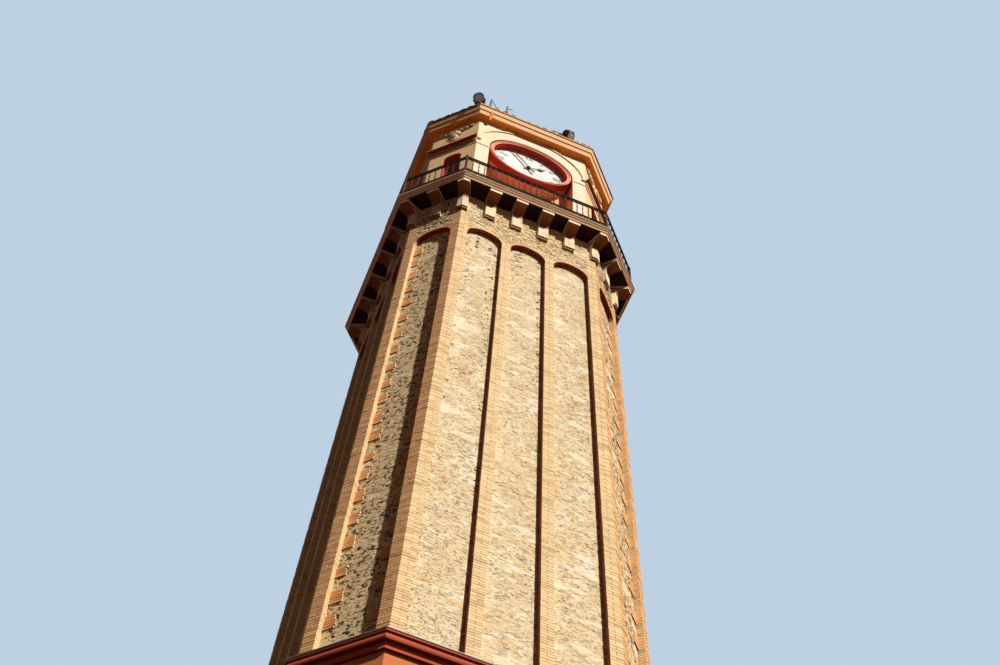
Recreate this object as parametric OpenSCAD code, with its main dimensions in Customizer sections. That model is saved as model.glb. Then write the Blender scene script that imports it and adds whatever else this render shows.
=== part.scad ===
// Octagonal clock tower: a tall stuccoed base storey, a tapering shaft of
// rubble panels in brick frames, a corbelled iron balcony and a clock room.
// Millimetres, Z up, the origin at ground level on the tower's axis.
// The front faces -Y. Faces count anticlockwise from the front: the even
// ones are wide, the odd ones are the narrow chamfer faces between them.

/* [Plan] */
// Width of the shaft across two opposite wide faces, at the balcony
shaft_w = 4200; // [3900:50:4500]
// Length of a wide face as a share of that width
wide_share = 0.648; // [0.62:0.002:0.67]
// Inward lean of the shaft's faces, millimetres per metre of height
shaft_lean = 11.2; // [8:0.2:14]

/* [Levels] */
// Height of the base storey, to the top edge of its cornice
base_h = 16240; // [12000:10:17000]
// Height of the shaft above it, to the underside of the balcony
shaft_h = 14510; // [12000:10:16000]
// Height of the clock room, from the balcony's underside to its soffit
room_h = 5000; // [4900:10:5300]

/* [Base storey] */
// Thickness of the base walls
base_wall_t = 800; // [600:10:900]
// How far the base walls stand out past the shaft's foot
base_set = 27; // [20:1:60]
// Height of the stone plinth
plinth_h = 1150; // [900:10:1400]
// How far the plinth stands out past the base wall
plinth_out = 70; // [40:5:120]
// Height of the base cornice
base_cornice_h = 285; // [240:5:330]
// Projection of the base cornice from the base wall
base_cornice_out = 102; // [80:1:130]
// Rise of the flashing from the cornice's edge to the shaft
flashing_rise = 60; // [40:5:90]
// Width of the ground doorway
door_w = 1100; // [900:10:1200]
// Height of the ground doorway to the spring of its arch
door_spring = 2150; // [2000:10:2400]
// Width of the doorway's stone surround
jamb_w = 220; // [150:10:300]
// Projection of the surround from the wall
jamb_out = 70; // [40:5:90]
// Depth of the reveal in front of the ground door
door_reveal = 260; // [150:10:350]
// Thickness of the door leaves
leaf_t = 55; // [40:5:70]
// Thickness of the ground floor
floor_t = 150; // [100:10:200]

/* [Shaft] */
// Thickness of the rubble core wall behind the brick frame
core_t = 550; // [450:10:650]
// Depth of the recessed panels, which is the thickness of the brick frame
panel_d = 102; // [90:2:140]
// Width of a panel on a wide face, as a share of half the face
panel_share = 0.5047; // [0.48:0.0001:0.52]
// Width of the panel on a narrow face, as a share of the face
narrow_share = 0.71; // [0.66:0.01:0.74]
// Depth of the panel arches' spring below the balcony's underside
panel_spring = 1800; // [1600:10:2100]

/* [Corbels] */
// Projection of a corbel from the shaft
corbel_out = 330; // [280:5:350]
// Height of a corbel
corbel_h = 845; // [800:5:900]
// Height of the cap block at its top
cap_h = 125; // [100:5:150]
// Width of the cap block
cap_w = 244; // [220:2:260]
// Width of the shank and of the concave part
shank_w = 204; // [180:2:216]
// Projection of the shank from the shaft
shank_out = 85; // [60:5:110]

/* [Balcony] */
// Projection of the balcony slab from the shaft
slab_out = 414; // [380:2:440]
// Thickness of the balcony slab
slab_t = 150; // [130:5:180]
// Distance from the slab's edge in to the middle of the railing
rail_in = 70; // [60:1:90]
// Height of the railing above the slab
rail_h = 995; // [900:5:1100]
// Height of the band under the top rail
rail_band = 100; // [80:5:120]
// Height of the scroll band's rail above the slab
scroll_rail = 300; // [260:5:340]
// Wanted distance between balusters
baluster_pitch = 124; // [100:1:140]
// Thickness of a baluster
baluster = 14; // [12:1:18]
// Width of a corner post
post = 36; // [30:1:44]

/* [Clock room] */
// Half the width across the room's wide faces
room_half = 2026; // [1990:2:2060]
// Half the length of a wide face
room_side = 1262; // [1240:2:1290]
// Thickness of the clock room's wide walls
room_wall_t = 540; // [500:10:600]
// Thickness of its narrow walls
narrow_wall_t = 380; // [300:10:450]
// Height of the clock's centre above the balcony's underside
clock_h = 3585; // [3500:5:3650]
// Half the width of the niche, and the radius of its arch
niche_r = 966; // [930:2:980]
// Depth of the niche
niche_d = 357; // [320:1:370]
// Radius of the archivolt's outer edge
archivolt_r = 1242; // [1200:2:1244]
// Width of a balcony doorway
balcony_door_w = 420; // [400:5:520]
// Height of the balcony doorways' arch crown above the balcony's underside
balcony_door_h = 3213; // [2600:1:3220]
// Height of the string course's underside above the balcony's underside
string_z = 3430; // [3400:5:3500]
// Height of the string course
string_h = 350; // [300:5:360]

/* [Clocks] */
// Outer radius of a clock drum
drum_r = 939; // [900:1:950]
// Radius of a dial
dial_r = 855; // [820:1:870]
// Depth of the drum's rim behind the wall's face
drum_set = 22; // [15:1:40]
// Depth of the dial's face behind the wall's face
dial_set = 168; // [150:1:180]
// Thickness of a dial
dial_t = 25; // [15:1:30]
// Length of a minute hand from its axis
minute_l = 756; // [700:1:800]
// Length of an hour hand from its axis
hour_l = 475; // [440:1:520]
// Time shown: hours
clock_hour = 1; // [0:1:11]
// Time shown: minutes
clock_minute = 55; // [0:1:59]

/* [Top] */
// Projection of the top cornice from the clock room's wall
cornice_out = 225; // [200:5:250]
// Height of the top cornice
cornice_h = 340; // [300:5:380]
// Rise of the roof above the cornice
roof_rise = 620; // [500:10:900]
// Thickness of the roof
roof_t = 120; // [90:5:150]
// Height of the roof's drip edge
roof_edge = 40; // [30:5:60]

/* [Hidden] */

// Tangent of half the 45 degree turn at a corner
t_half = tan(22.5);
root2 = sqrt(2);
wide_faces = [0, 2, 4, 6];
corner_faces = [1, 3, 5, 7];
// Overlap of cutters past what they cut
eps = 5;
// Reach of cutters and runs past the whole plan
far = 4000;
// Hairline gap where two separate pieces touch
hair = 0.1;

balcony_z = base_h + shaft_h;
lean = shaft_lean / 1000;
shaft_top_a = shaft_w / 2;
shaft_foot_a = shaft_top_a + lean * shaft_h;
base_a = shaft_foot_a + base_set;
base_c = shaft_foot_a * wide_share + base_set * t_half;
shaft_c = shaft_top_a * wide_share;
slab_top = balcony_z + slab_t;
soffit_z = balcony_z + room_h;
roof_z = soffit_z + cornice_h;
clock_z = balcony_z + clock_h;

// Distance of face i from the axis in an octagon whose wide faces lie at a
// and are 2c long, and half the length of that face
function face_dist(i, a, c) = i % 2 == 0 ? a : (a + c) / root2;
function face_half(i, a, c) = i % 2 == 0 ? c : (a - c) / root2;

// Lean of face i of the shaft: a narrow face leans a little more than a wide one
function face_lean(i) = lean * face_dist(i, 1, wide_share);

// Corners of such an octagon, moved out by d
function octagon(a, c, d = 0) =
  let (A = a + d, C = c + d * t_half)
  [[C, -A], [A, -C], [A, C], [C, A], [-C, A], [-A, C], [-A, -C], [-C, -A]];

// Points of an arc, from angle s to angle e
function arc(x, y, r, s, e, n = 8) =
  [for (k = [0:n]) let (w = s + (e - s) * k / n) [x + r * cos(w), y + r * sin(w)]];

module face(i) {
  rotate([0, 0, 45 * i]) children();
}

// Plan of one wall between its mitres, with its face at distance D
module wall_plan(i, a, c, t) {
  D = face_dist(i, a, c);
  H = face_half(i, a, c) - hair;
  polygon([[-H, -D], [H, -D], [H - t * t_half, t - D], [t * t_half - H, t - D]]);
}

// A plain wall of face i
module wall(i, a, c, t, z0, z1) {
  face(i) translate([0, 0, z0]) linear_extrude(z1 - z0) wall_plan(i, a, c, t);
}

// A shaft wall: it leans in towards the axis with the whole shaft
module leaning_wall(i, depth, t) {
  a = shaft_foot_a - depth;
  c = shaft_foot_a * wide_share - depth * t_half;
  face(i) translate([0, 0, base_h])
    linear_extrude(shaft_h, scale = shaft_top_a / shaft_foot_a) wall_plan(i, a, c, t);
}

// All that lies within a profile's reach of face i, back past the axis, from
// x0 to x1. The profile's [outward, up] points go from its bottom to its top
module face_run(i, a, c, profile, x0 = -far, x1 = far, back = far) {
  D = face_dist(i, a, c);
  last = len(profile) - 1;
  face(i) translate([x0, 0, 0]) rotate([90, 0, 90]) linear_extrude(x1 - x0)
    polygon(concat(
      [[back, profile[0][1]]], [for (p = profile) [-D - p[0], p[1]]], [[back, profile[last][1]]]
    ));
}

// An octagonal body with the profile run all round it, mitred at the corners
module moulded_body(a, c, profile) {
  intersection_for(i = [0:7]) face_run(i, a, c, profile);
}

// The same with an octagonal hole through it
module moulded_ring(a, c, profile, hole_a, hole_c) {
  difference() {
    moulded_body(a, c, profile);
    translate([0, 0, profile[0][1] - eps])
      linear_extrude(profile[len(profile) - 1][1] - profile[0][1] + 2 * eps) polygon(octagon(hole_a, hole_c));
  }
}

// Closes the front of a moulding, given from its bottom up, with a back that
// lies just off a wall of that lean
function closed(front, wall_lean = 0) =
  concat(front, [for (k = [len(front) - 1:-1:0]) [hair - wall_lean * front[k][1], front[k][1]]]);

// A closed profile of [outward, up] points carried past stations, each a plan
// point with the outward vector there. A ring joins the last to the first
module sweep(stations, profile, ring = false) {
  n = len(profile);
  m = len(stations);
  points = [for (s = stations, p = profile) [s[0][0] + p[0] * s[1][0], s[0][1] + p[0] * s[1][1], p[1]]];
  sides = [
    for (j = [0:ring ? m - 1 : m - 2], k = [0:n - 1])
      let (a = j * n + k, b = j * n + (k + 1) % n, c = (j + 1) % m * n + (k + 1) % n, d = (j + 1) % m * n + k)
      each [[a, b, c], [a, c, d]]
  ];
  // Strips across an end, from the profile's front to its back
  strips = [for (k = [0:n / 2 - 2]) each [[k, k + 1, n - 2 - k], [k, n - 2 - k, n - 1 - k]]];
  first = [for (t = strips) [t[2], t[1], t[0]]];
  last = [for (t = strips) [for (k = t) (m - 1) * n + k]];
  polyhedron(points, ring ? sides : concat(sides, first, last));
}

// Upright outline with a round head
module arch_shape(w, spring) {
  translate([-w / 2, 0]) square([w, spring]);
  translate([0, spring]) circle(d = w, $fn = 64);
}

// Base storey

module plinth() {
  gap = door_w + 2 * jamb_w;
  color("#b9a88c") linear_extrude(plinth_h) difference() {
    polygon(octagon(base_a, base_c, plinth_out));
    polygon(octagon(base_a, base_c, hair));
    translate([-gap / 2, -base_a - plinth_out - eps]) square([gap, plinth_out + 2 * eps]);
  }
}

module doorway_cutter() {
  translate([0, eps - base_a, -eps]) rotate([90, 0, 0]) translate([0, 0, -base_wall_t])
    linear_extrude(base_wall_t + 2 * eps) arch_shape(door_w, door_spring + eps);
}

module base_front_wall() {
  color("#d9744a") difference() {
    wall(0, base_a, base_c, base_wall_t, 0, base_h);
    doorway_cutter();
  }
}

module base_wide_walls() {
  color("#d9744a") for (i = [2, 4, 6]) wall(i, base_a, base_c, base_wall_t, 0, base_h);
}

module base_corner_walls() {
  color("#d9744a") for (i = corner_faces) wall(i, base_a, base_c, base_wall_t, 0, base_h);
}

module entrance_door() {
  color("#5a3a26") translate([0, door_reveal + leaf_t - base_a, floor_t])
    rotate([90, 0, 0]) linear_extrude(leaf_t) arch_shape(door_w, door_spring - floor_t);
}

module door_surround() {
  color("#c8b795") translate([0, -base_a, 0]) rotate([90, 0, 0]) linear_extrude(jamb_out) difference() {
    arch_shape(door_w + 2 * jamb_w, door_spring);
    translate([0, -eps]) arch_shape(door_w, door_spring + eps);
  }
}

module ground_floor() {
  color("#a49b8c") linear_extrude(floor_t) {
    polygon(octagon(base_a, base_c, -base_wall_t - hair));
    translate([-door_w / 2, -base_a]) square([door_w, base_wall_t + eps]);
  }
}

// Fillet, hollow and round of the base cornice, up to its top fascia
function base_cornice_profile() = concat(
  [[42, -base_cornice_h], [42, 40 - base_cornice_h], [30, 48 - base_cornice_h], [30, 66 - base_cornice_h]],
  arc(30 + 55, 70 - base_cornice_h, 55, 180, 100, 5),
  arc(base_cornice_out - 90, -125, 85, -30, 40, 6),
  [[base_cornice_out - 8, -45], [base_cornice_out, -45], [base_cornice_out, 0]]
);

module base_cornice() {
  color("#8e3b26") translate([0, 0, base_h])
    moulded_ring(base_a, base_c, base_cornice_profile(), base_a + hair, base_c + hair);
}

// The sheet overhangs the cornice with a turned-down lip and rises to meet
// the shaft
module flashing() {
  lip = 10;
  sheet = 6;
  corners = octagon(base_a, base_c);
  outward = octagon(base_a, base_c, 1) - corners;
  color("#a7a7a7") translate([0, 0, base_h + hair]) sweep([for (k = [0:7]) [corners[k], outward[k]]], [
    [base_cornice_out + hair, -lip], [base_cornice_out + lip, -lip], [base_cornice_out + lip, sheet],
    [lip - base_set, flashing_rise], [-base_set, flashing_rise], [-base_set, 0], [base_cornice_out + hair, 0]
  ], ring = true);
}

// Shaft

module shaft_wide_cores() {
  color("#cdbf9d") for (i = wide_faces) leaning_wall(i, panel_d, core_t);
}

module shaft_corner_cores() {
  color("#cdbf9d") for (i = corner_faces) leaning_wall(i, panel_d, core_t);
}

// Outline of a panel on its leaning face: its sides close in with the shaft
module panel_outline(w0, w1, x0, x1, spring) {
  polygon([[x0 - w0 / 2, -eps], [x0 + w0 / 2, -eps], [x1 + w1 / 2, spring], [x1 - w1 / 2, spring]]);
  translate([x1, spring]) circle(d = w1, $fn = 64);
}

// Cutters for the recessed panels of face i
module panel_cutters(i) {
  spring = shaft_h - panel_spring;
  foot = shaft_foot_a;
  head = shaft_top_a + lean * panel_spring;
  foot_half = face_half(i, foot, foot * wide_share);
  head_half = face_half(i, head, head * wide_share);
  share = i % 2 == 0 ? panel_share / 2 : narrow_share;
  // Three panels and four piers fill a wide face
  pitch = panel_share + (2 - 3 * panel_share) / 4;
  slope = (face_dist(i, foot, foot * wide_share) - face_dist(i, head, head * wide_share)) / spring;
  face(i) translate([0, panel_d + eps - face_dist(i, foot, foot * wide_share), base_h])
    rotate([90 - atan(slope), 0, 0]) linear_extrude(panel_d + 100)
      for (k = i % 2 == 0 ? [-1, 0, 1] : [0])
        panel_outline(
          2 * foot_half * share, 2 * head_half * share,
          k * foot_half * pitch, k * head_half * pitch, spring
        );
}

module brick_frame(i) {
  color("#d3a878") difference() {
    leaning_wall(i, 0, panel_d);
    panel_cutters(i);
  }
}

// Corbels

// Front of a corbel below its cap block: a roll at the foot, a plain shank and
// a hollow quarter round
function corbel_front() =
  let (r = corbel_out - 15 - shank_out, roll = 33)
  concat(
    arc(28, roll - corbel_h, roll, -90, 68, 6),
    [[shank_out, 2 * roll + 4 - corbel_h]],
    arc(corbel_out - 15, -cap_h - r, r, 180, 90, 10)
  );

function cap_front() = [[corbel_out, -cap_h], [corbel_out, 0]];

// A straight length of such a corbel on face i, centred at x along it
module straight_run(i, front, x, w) {
  face(i) translate([x - w / 2, -face_dist(i, shaft_top_a, shaft_c), balcony_z])
    rotate([90, 0, 90]) linear_extrude(w) polygon([for (p = closed(front, face_lean(i))) [-p[0], p[1]]]);
}

// The same front at every straight corbel. They and the corner corbels share a
// wide face in five equal bays
module straight_runs(front, w) {
  bay = 2 * shaft_c / 5;
  for (i = wide_faces, k = [-1.5:1:1.5]) straight_run(i, front, k * bay, w);
  for (i = corner_faces) straight_run(i, front, 0, w);
}

module corbels() {
  color("#cfc5ad") straight_runs(corbel_front(), shank_w);
}

// A corbel bent round the corner between face i and the next. Its sides stay
// parallel, w apart
module bent_run(i, front, w) {
  leg = w / 2 / cos(22.5);
  corner = [face_half(i, shaft_top_a, shaft_c), -face_dist(i, shaft_top_a, shaft_c)];
  outward = [t_half, -1];
  face(i) translate([0, 0, balcony_z]) sweep(
    [[corner - [leg, 0], outward], [corner, outward], [corner + leg * [cos(45), sin(45)], outward]],
    closed(front, face_lean(1))
  );
}

module corner_corbels() {
  color("#cfc5ad") for (i = [0:7]) bent_run(i, corbel_front(), shank_w);
}

module corbel_caps() {
  color("#d9d2bf") {
    straight_runs(cap_front(), cap_w);
    for (i = [0:7]) bent_run(i, cap_front(), cap_w);
  }
}

// Balcony

// Edge of the slab: bottom fillet, the band behind the dentils and the corona
function slab_profile() = [
  [slab_out - 61, hair], [slab_out - 61, 56], [slab_out - 44, 60], [slab_out - 44, 102],
  [slab_out - 12, 106], [slab_out, 116], [slab_out, slab_t - 14], [slab_out - 12, slab_t]
];

module balcony_slab() {
  color("#e2a684") translate([0, 0, balcony_z]) moulded_body(shaft_top_a, shaft_c, slab_profile());
}

// One straight length of railing on face i, with a post at its right end
module railing(i) {
  d = slab_out - rail_in;
  D = face_dist(i, shaft_top_a + d, shaft_c + d * t_half);
  H = face_half(i, shaft_top_a + d, shaft_c + d * t_half);
  // Clear length between the posts and the number of bays in it
  span = 2 * H - post;
  bays = round(span / baluster_pitch);
  step = span / bays;
  // Left end of the rails, at the edge of the next face's post, which is turned
  left = post / root2 + hair - H;
  rail_t = 10;
  rail_w = 30;
  color("#3b3f42") face(i) translate([0, -D, slab_top]) {
    for (z = [40, scroll_rail, rail_h - rail_band - rail_t, rail_h - rail_t])
      translate([left, -rail_w / 2, z]) cube([H - post / 2 - left, rail_w, rail_t]);
    for (k = [1:bays - 1])
      translate([-span / 2 + k * step - baluster / 2, -baluster / 2, scroll_rail])
        cube([baluster, baluster, rail_h - rail_band - scroll_rail]);
    translate([H - post / 2, -post / 2, 0]) cube([post, post, rail_h]);
  }
}

// Clock room

module clock_wall(i) {
  color("#f0dcb8") difference() {
    wall(i, room_half, room_side, room_wall_t, slab_top, soffit_z);
    face(i) translate([0, niche_d - room_half, slab_top - eps]) rotate([90, 0, 0])
      linear_extrude(niche_d + eps) arch_shape(2 * niche_r, clock_z - slab_top + eps);
  }
}

module clock_corner_walls() {
  D = face_dist(1, room_half, room_side);
  spring = balcony_door_h - slab_t - balcony_door_w / 2;
  color("#f0dcb8") for (i = corner_faces) difference() {
    wall(i, room_half, room_side, narrow_wall_t, slab_top, soffit_z);
    face(i) translate([0, narrow_wall_t + eps - D, slab_top - eps]) rotate([90, 0, 0])
      linear_extrude(narrow_wall_t + 2 * eps) arch_shape(balcony_door_w, spring + eps);
  }
}

// Levels above the string course's underside: the underside of its top member,
// that member's upper edge, and the top of its fillet on the wide faces
string_soffit = 264;
string_edge = string_h - 48;
string_fillet = string_h - 38;

function string_front() = [
  [12, 0], [12, 60], [20, 62], [20, string_soffit], [100, string_soffit + 4],
  [110, string_soffit + 12], [110, string_edge], [24, string_h]
];

// A mitred string course crosses each narrow face
module string_courses() {
  H = face_half(1, room_half, room_side);
  D = face_dist(1, room_half, room_side);
  color("#e8c79c") for (i = corner_faces) face(i) translate([0, 0, balcony_z + string_z])
    sweep([[[-H, -D], [-t_half, -1]], [[H, -D], [t_half, -1]]], closed(string_front()));
}

// A small moulding on a wide wall from x out to the corner, on both sides
module corner_fillets(x, front) {
  corner = room_side - hair;
  sweep([[[-corner, -room_half], [-t_half, -1]], [[-x, -room_half], [0, -1]]], closed(front));
  sweep([[[x, -room_half], [0, -1]], [[corner, -room_half], [t_half, -1]]], closed(front));
}

// A raised band over each clock, standing on a fillet that carries on the top
// of the string courses. A thinner one carries on their foot to the niche
module archivolts() {
  band = 46;
  out = 24;
  rise = 170;
  spring = string_z + string_fillet + hair - clock_h - rise;
  color("#f0dcb8") for (i = wide_faces) face(i) {
    translate([0, 0, balcony_z + string_z]) {
      corner_fillets(niche_r + 20, [[14, 0], [14, 24]]);
      corner_fillets(
        archivolt_r - band - 20,
        [[24, string_soffit], [36, string_soffit + 8], [36, string_edge], [26, string_fillet]]
      );
    }
    translate([0, -room_half, clock_z + rise]) rotate([90, 0, 0]) linear_extrude(out) intersection() {
      difference() {
        circle(r = archivolt_r, $fn = 96);
        circle(r = archivolt_r - band, $fn = 96);
      }
      translate([-archivolt_r, spring]) square([2 * archivolt_r, archivolt_r - spring]);
    }
  }
}

module balcony_doors() {
  // Depth of the leaf behind the wall's face
  reveal = 150;
  D = face_dist(1, room_half, room_side);
  spring = balcony_door_h - slab_t - balcony_door_w / 2;
  color("#6e1f17") for (i = corner_faces) face(i) translate([0, reveal + leaf_t - D, slab_top])
    rotate([90, 0, 0]) linear_extrude(leaf_t) arch_shape(balcony_door_w, spring);
}

// Outline of a pointed leaf of length l and width w, its tip up
module leaf(l, w) {
  r = (l * l + w * w) / 4 / w;
  side = asin(l / 2 / r);
  half = arc(w / 2 - r, l / 2, r, -side, side, 8);
  polygon(concat([for (k = [0:7]) half[k]], [for (k = [8:-1:1]) [-half[k][0], half[k][1]]]));
}

// A carved flower hangs by a leafy stem between two sprays
module reliefs() {
  D = face_dist(1, room_half, room_side);
  // Height of the flower's middle above the balcony's underside
  flower_z = 4150;
  flower_r = 135;
  // [x, z from the flower's middle, turn from upright, length, width] of leaves
  stem = [[0, 130, 0, 200, 80], [-14, 300, 28, 190, 84], [14, 300, -28, 190, 84], [0, 440, 0, 220, 90]];
  spray = [
    [40, 600, -70, 190, 84], [60, 570, -110, 170, 76], [170, 640, -76, 180, 80],
    [190, 600, -120, 160, 72], [300, 640, -95, 160, 76]
  ];
  color("#d8bd93") for (i = corner_faces) face(i) translate([0, -D, balcony_z + flower_z]) rotate([90, 0, 0]) {
    cylinder(r = 70, h = 45, $fn = 32);
    cylinder(r = 34, h = 62, $fn = 24);
    linear_extrude(34) for (k = [0:7]) rotate(45 * k) translate([0, 40]) leaf(flower_r - 40, 84);
    linear_extrude(26) {
      translate([-9, 0]) square([18, 640]);
      for (l = stem) translate([l[0], l[1]]) rotate(l[2]) leaf(l[3], l[4]);
    }
    linear_extrude(30) for (l = spray, s = [-1, 1]) translate([s * l[0], l[1]]) rotate(s * l[2]) leaf(l[3], l[4]);
  }
}

// Clocks

module clock_drums() {
  length = niche_d - drum_set;
  // Radius of the bead round the rim, and of its section
  bead_r = 907;
  bead = 17;
  color("#c9604a") for (i = wide_faces) face(i) translate([0, niche_d - room_half, clock_z]) rotate([90, 0, 0]) {
    difference() {
      cylinder(r = drum_r, h = length, $fn = 128);
      translate([0, 0, niche_d - dial_set - dial_t]) cylinder(r = dial_r, h = length, $fn = 128);
    }
    rotate_extrude($fn = 128) translate([bead_r, length]) circle(r = bead, $fn = 24);
  }
}

// Bearing hole in a drum and its dial for the hands' arbors
bearing_r = 36;

module dials() {
  color("#f4f2ea") for (i = wide_faces) face(i) translate([0, dial_set + dial_t - room_half, clock_z])
    rotate([90, 0, 0]) difference() {
      union() {
        cylinder(r = dial_r, h = dial_t, $fn = 128);
        cylinder(r = bearing_r + 24, h = dial_t + 12, $fn = 48);
      }
      translate([0, 0, -eps]) cylinder(r = bearing_r, h = dial_t + 12 + 2 * eps, $fn = 48);
    }
}

// Places of the hands in front of the dial, and the sizes of their arbors
hour_gap = 20;
hand_t = 8;
minute_gap = 42;
pipe_r = 31;
pipe_bore = 22;
arbor_r = 18;
// How far the arbors reach in behind the dial's face
arbor_in = 18;
minute_turn = 6 * clock_minute;
hour_turn = 30 * (clock_hour + clock_minute / 60);

// Hand i is drawn pointing up, its plate gap in front of the dial
module hand_at(i, gap, turn) {
  face(i) translate([0, dial_set - gap - room_half, clock_z]) rotate([90, 0, 0]) rotate([0, 0, -turn]) children();
}

module minute_hand(i) {
  color("#1c1c1e") hand_at(i, minute_gap, minute_turn) {
    linear_extrude(hand_t) {
      circle(r = 44, $fn = 48);
      polygon([[-15, 0], [15, 0], [22, 0.55 * minute_l], [0, minute_l], [-22, 0.55 * minute_l]]);
      polygon([[-14, 0], [-24, -190], [24, -190], [14, 0]]);
      translate([0, -200]) circle(r = 40, $fn = 32);
    }
    translate([0, 0, -minute_gap - arbor_in]) cylinder(r = arbor_r, h = minute_gap + arbor_in, $fn = 48);
  }
}

module hour_hand(i) {
  color("#1c1c1e") hand_at(i, hour_gap, hour_turn) difference() {
    union() {
      linear_extrude(hand_t) {
        circle(r = 56, $fn = 48);
        polygon([[-20, 0], [20, 0], [13, 0.6 * hour_l], [-13, 0.6 * hour_l]]);
        translate([0, 0.68 * hour_l]) circle(r = 54, $fn = 48);
        polygon([[-42, 0.75 * hour_l], [42, 0.75 * hour_l], [0, hour_l]]);
        polygon([[-18, 0], [-30, -120], [30, -120], [18, 0]]);
      }
      translate([0, 0, -hour_gap - arbor_in]) cylinder(r = pipe_r, h = hour_gap + arbor_in, $fn = 48);
    }
    translate([0, 0, -hour_gap - 2 * arbor_in]) cylinder(r = pipe_bore, h = hour_gap + 3 * arbor_in, $fn = 48);
  }
}

// Top

// Two leaning fasciae, the upper a little in front of the lower
function cornice_front() = [
  [cornice_out - 75, hair], [cornice_out - 73, 25], [cornice_out - 45, cornice_h - 175],
  [cornice_out - 25, cornice_h - 170], [cornice_out - 23, cornice_h - 155], [cornice_out, cornice_h - 25],
  [cornice_out, cornice_h]
];

module top_cornice() {
  corners = octagon(room_half, room_side);
  outward = octagon(room_half, room_side, 1) - corners;
  // How far it runs in over the clock room's walls
  bed = 300;
  color("#f0dcb8") translate([0, 0, soffit_z]) sweep(
    [for (k = [0:7]) [corners[k], outward[k]]],
    concat(cornice_front(), [[-bed, cornice_h], [-bed, hair]]), ring = true
  );
}

// Solid form of the roof, from its drip edge to its small flat top
module roof_form() {
  overhang = cornice_out + 25;
  translate([0, 0, roof_z]) {
    linear_extrude(roof_edge) polygon(octagon(room_half, room_side, overhang));
    translate([0, 0, roof_edge]) linear_extrude(roof_rise, scale = 0.03)
      polygon(octagon(room_half, room_side, overhang));
  }
}

module roof() {
  color("#a85f3c") difference() {
    roof_form();
    translate([0, 0, roof_z - eps]) linear_extrude(roof_rise - roof_t, scale = 0.03)
      polygon(octagon(room_half, room_side, -200));
  }
}

// Places along the front of the two floodlights, and how far each is turned
// from straight ahead
lamp_places = [[-1400, 30], [760, -70]];
lamp_r = 120;
lamp_l = 170;
// Height of a lamp's middle above the cornice and its tilt below the horizon
lamp_z = 290;
lamp_tilt = 35;

// A drum lamp on a post at each end of the front's edge, and of the back's
module floodlights() {
  color("#3a3f3b") difference() {
    for (f = [0, 4], l = lamp_places) face(f) translate([l[0], -room_half - cornice_out, roof_z]) {
      translate([0, 0, lamp_z]) rotate([0, 0, -l[1]]) rotate([90 + lamp_tilt, 0, 0])
        cylinder(r = lamp_r, h = lamp_l, center = true, $fn = 48);
      translate([-18, 20, 0]) cube([36, 36, lamp_z]);
    }
    roof_form();
  }
}

// Round bar from one point to another
module bar(from, to, r) {
  run = to - from;
  translate(from) rotate([0, acos(run[2] / norm(run)), atan2(run[1], run[0])])
    cylinder(r = r, h = norm(run), $fn = 16);
}

// Beside each lamp a gear box and a braced post, and between them a short mast
module lamp_frames() {
  y = 60 - room_half - cornice_out;
  foot = 20;
  color("#4a4d4b") difference() {
    for (f = [0, 4]) face(f) translate([0, y, roof_z]) {
      translate([-1250, -10, foot]) cube([110, 90, 150]);
      bar([-1090, 0, foot], [-1100, 0, 860], 14);
      bar([-1100, 0, 850], [-850, 0, foot], 9);
      bar([-1100, 0, 850], [-1160, 300, foot], 9);
      bar([-710, 0, foot], [-710, 0, 780], 22);
      bar([-710, 0, 640], [-590, -40, 560], 9);
      translate([300, -10, foot]) cube([260, 110, 130]);
      bar([270, 0, foot], [430, 0, 420], 11);
      bar([590, 0, foot], [430, 0, 420], 11);
      // This one ends just behind the lamp
      bar([430, 0, 410], [690, -34, 342], 9);
    }
    roof_form();
  }
}

module lightning_rod() {
  color("#9da1a3") translate([0, 0, roof_z + roof_edge + roof_rise]) {
    cylinder(r = 36, h = 60, $fn = 32);
    cylinder(r = 12, h = 1300, $fn = 24);
  }
}

plinth();
base_front_wall();
base_wide_walls();
base_corner_walls();
entrance_door();
door_surround();
ground_floor();
base_cornice();
flashing();
shaft_wide_cores();
shaft_corner_cores();
brick_frame(0);  // brick_frame_front
brick_frame(2);  // brick_frame_right
brick_frame(4);  // brick_frame_back
brick_frame(6);  // brick_frame_left
for (i = corner_faces) brick_frame(i);  // brick_frames_corner
corbels();
corner_corbels();
corbel_caps();
balcony_slab();
railing(0);  // railing_front
railing(2);  // railing_right
railing(4);  // railing_back
railing(6);  // railing_left
for (i = corner_faces) railing(i);  // railings_corner
clock_wall(0);  // clock_wall_front
clock_wall(2);  // clock_wall_right
clock_wall(4);  // clock_wall_back
clock_wall(6);  // clock_wall_left
clock_corner_walls();
archivolts();
string_courses();
balcony_doors();
reliefs();
clock_drums();
dials();
minute_hand(0);  // minute_hand_front
minute_hand(2);  // minute_hand_right
minute_hand(4);  // minute_hand_back
minute_hand(6);  // minute_hand_left
hour_hand(0);  // hour_hand_front
hour_hand(2);  // hour_hand_right
hour_hand(4);  // hour_hand_back
hour_hand(6);  // hour_hand_left
top_cornice();
roof();
floodlights();
lamp_frames();
lightning_rod();
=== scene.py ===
"""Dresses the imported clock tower: bricks, rubble, ironwork, dials, reliefs, roof tiles and finishes."""

import math
import random

import bmesh
import bpy
from mathutils import Matrix, Vector, noise


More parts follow.
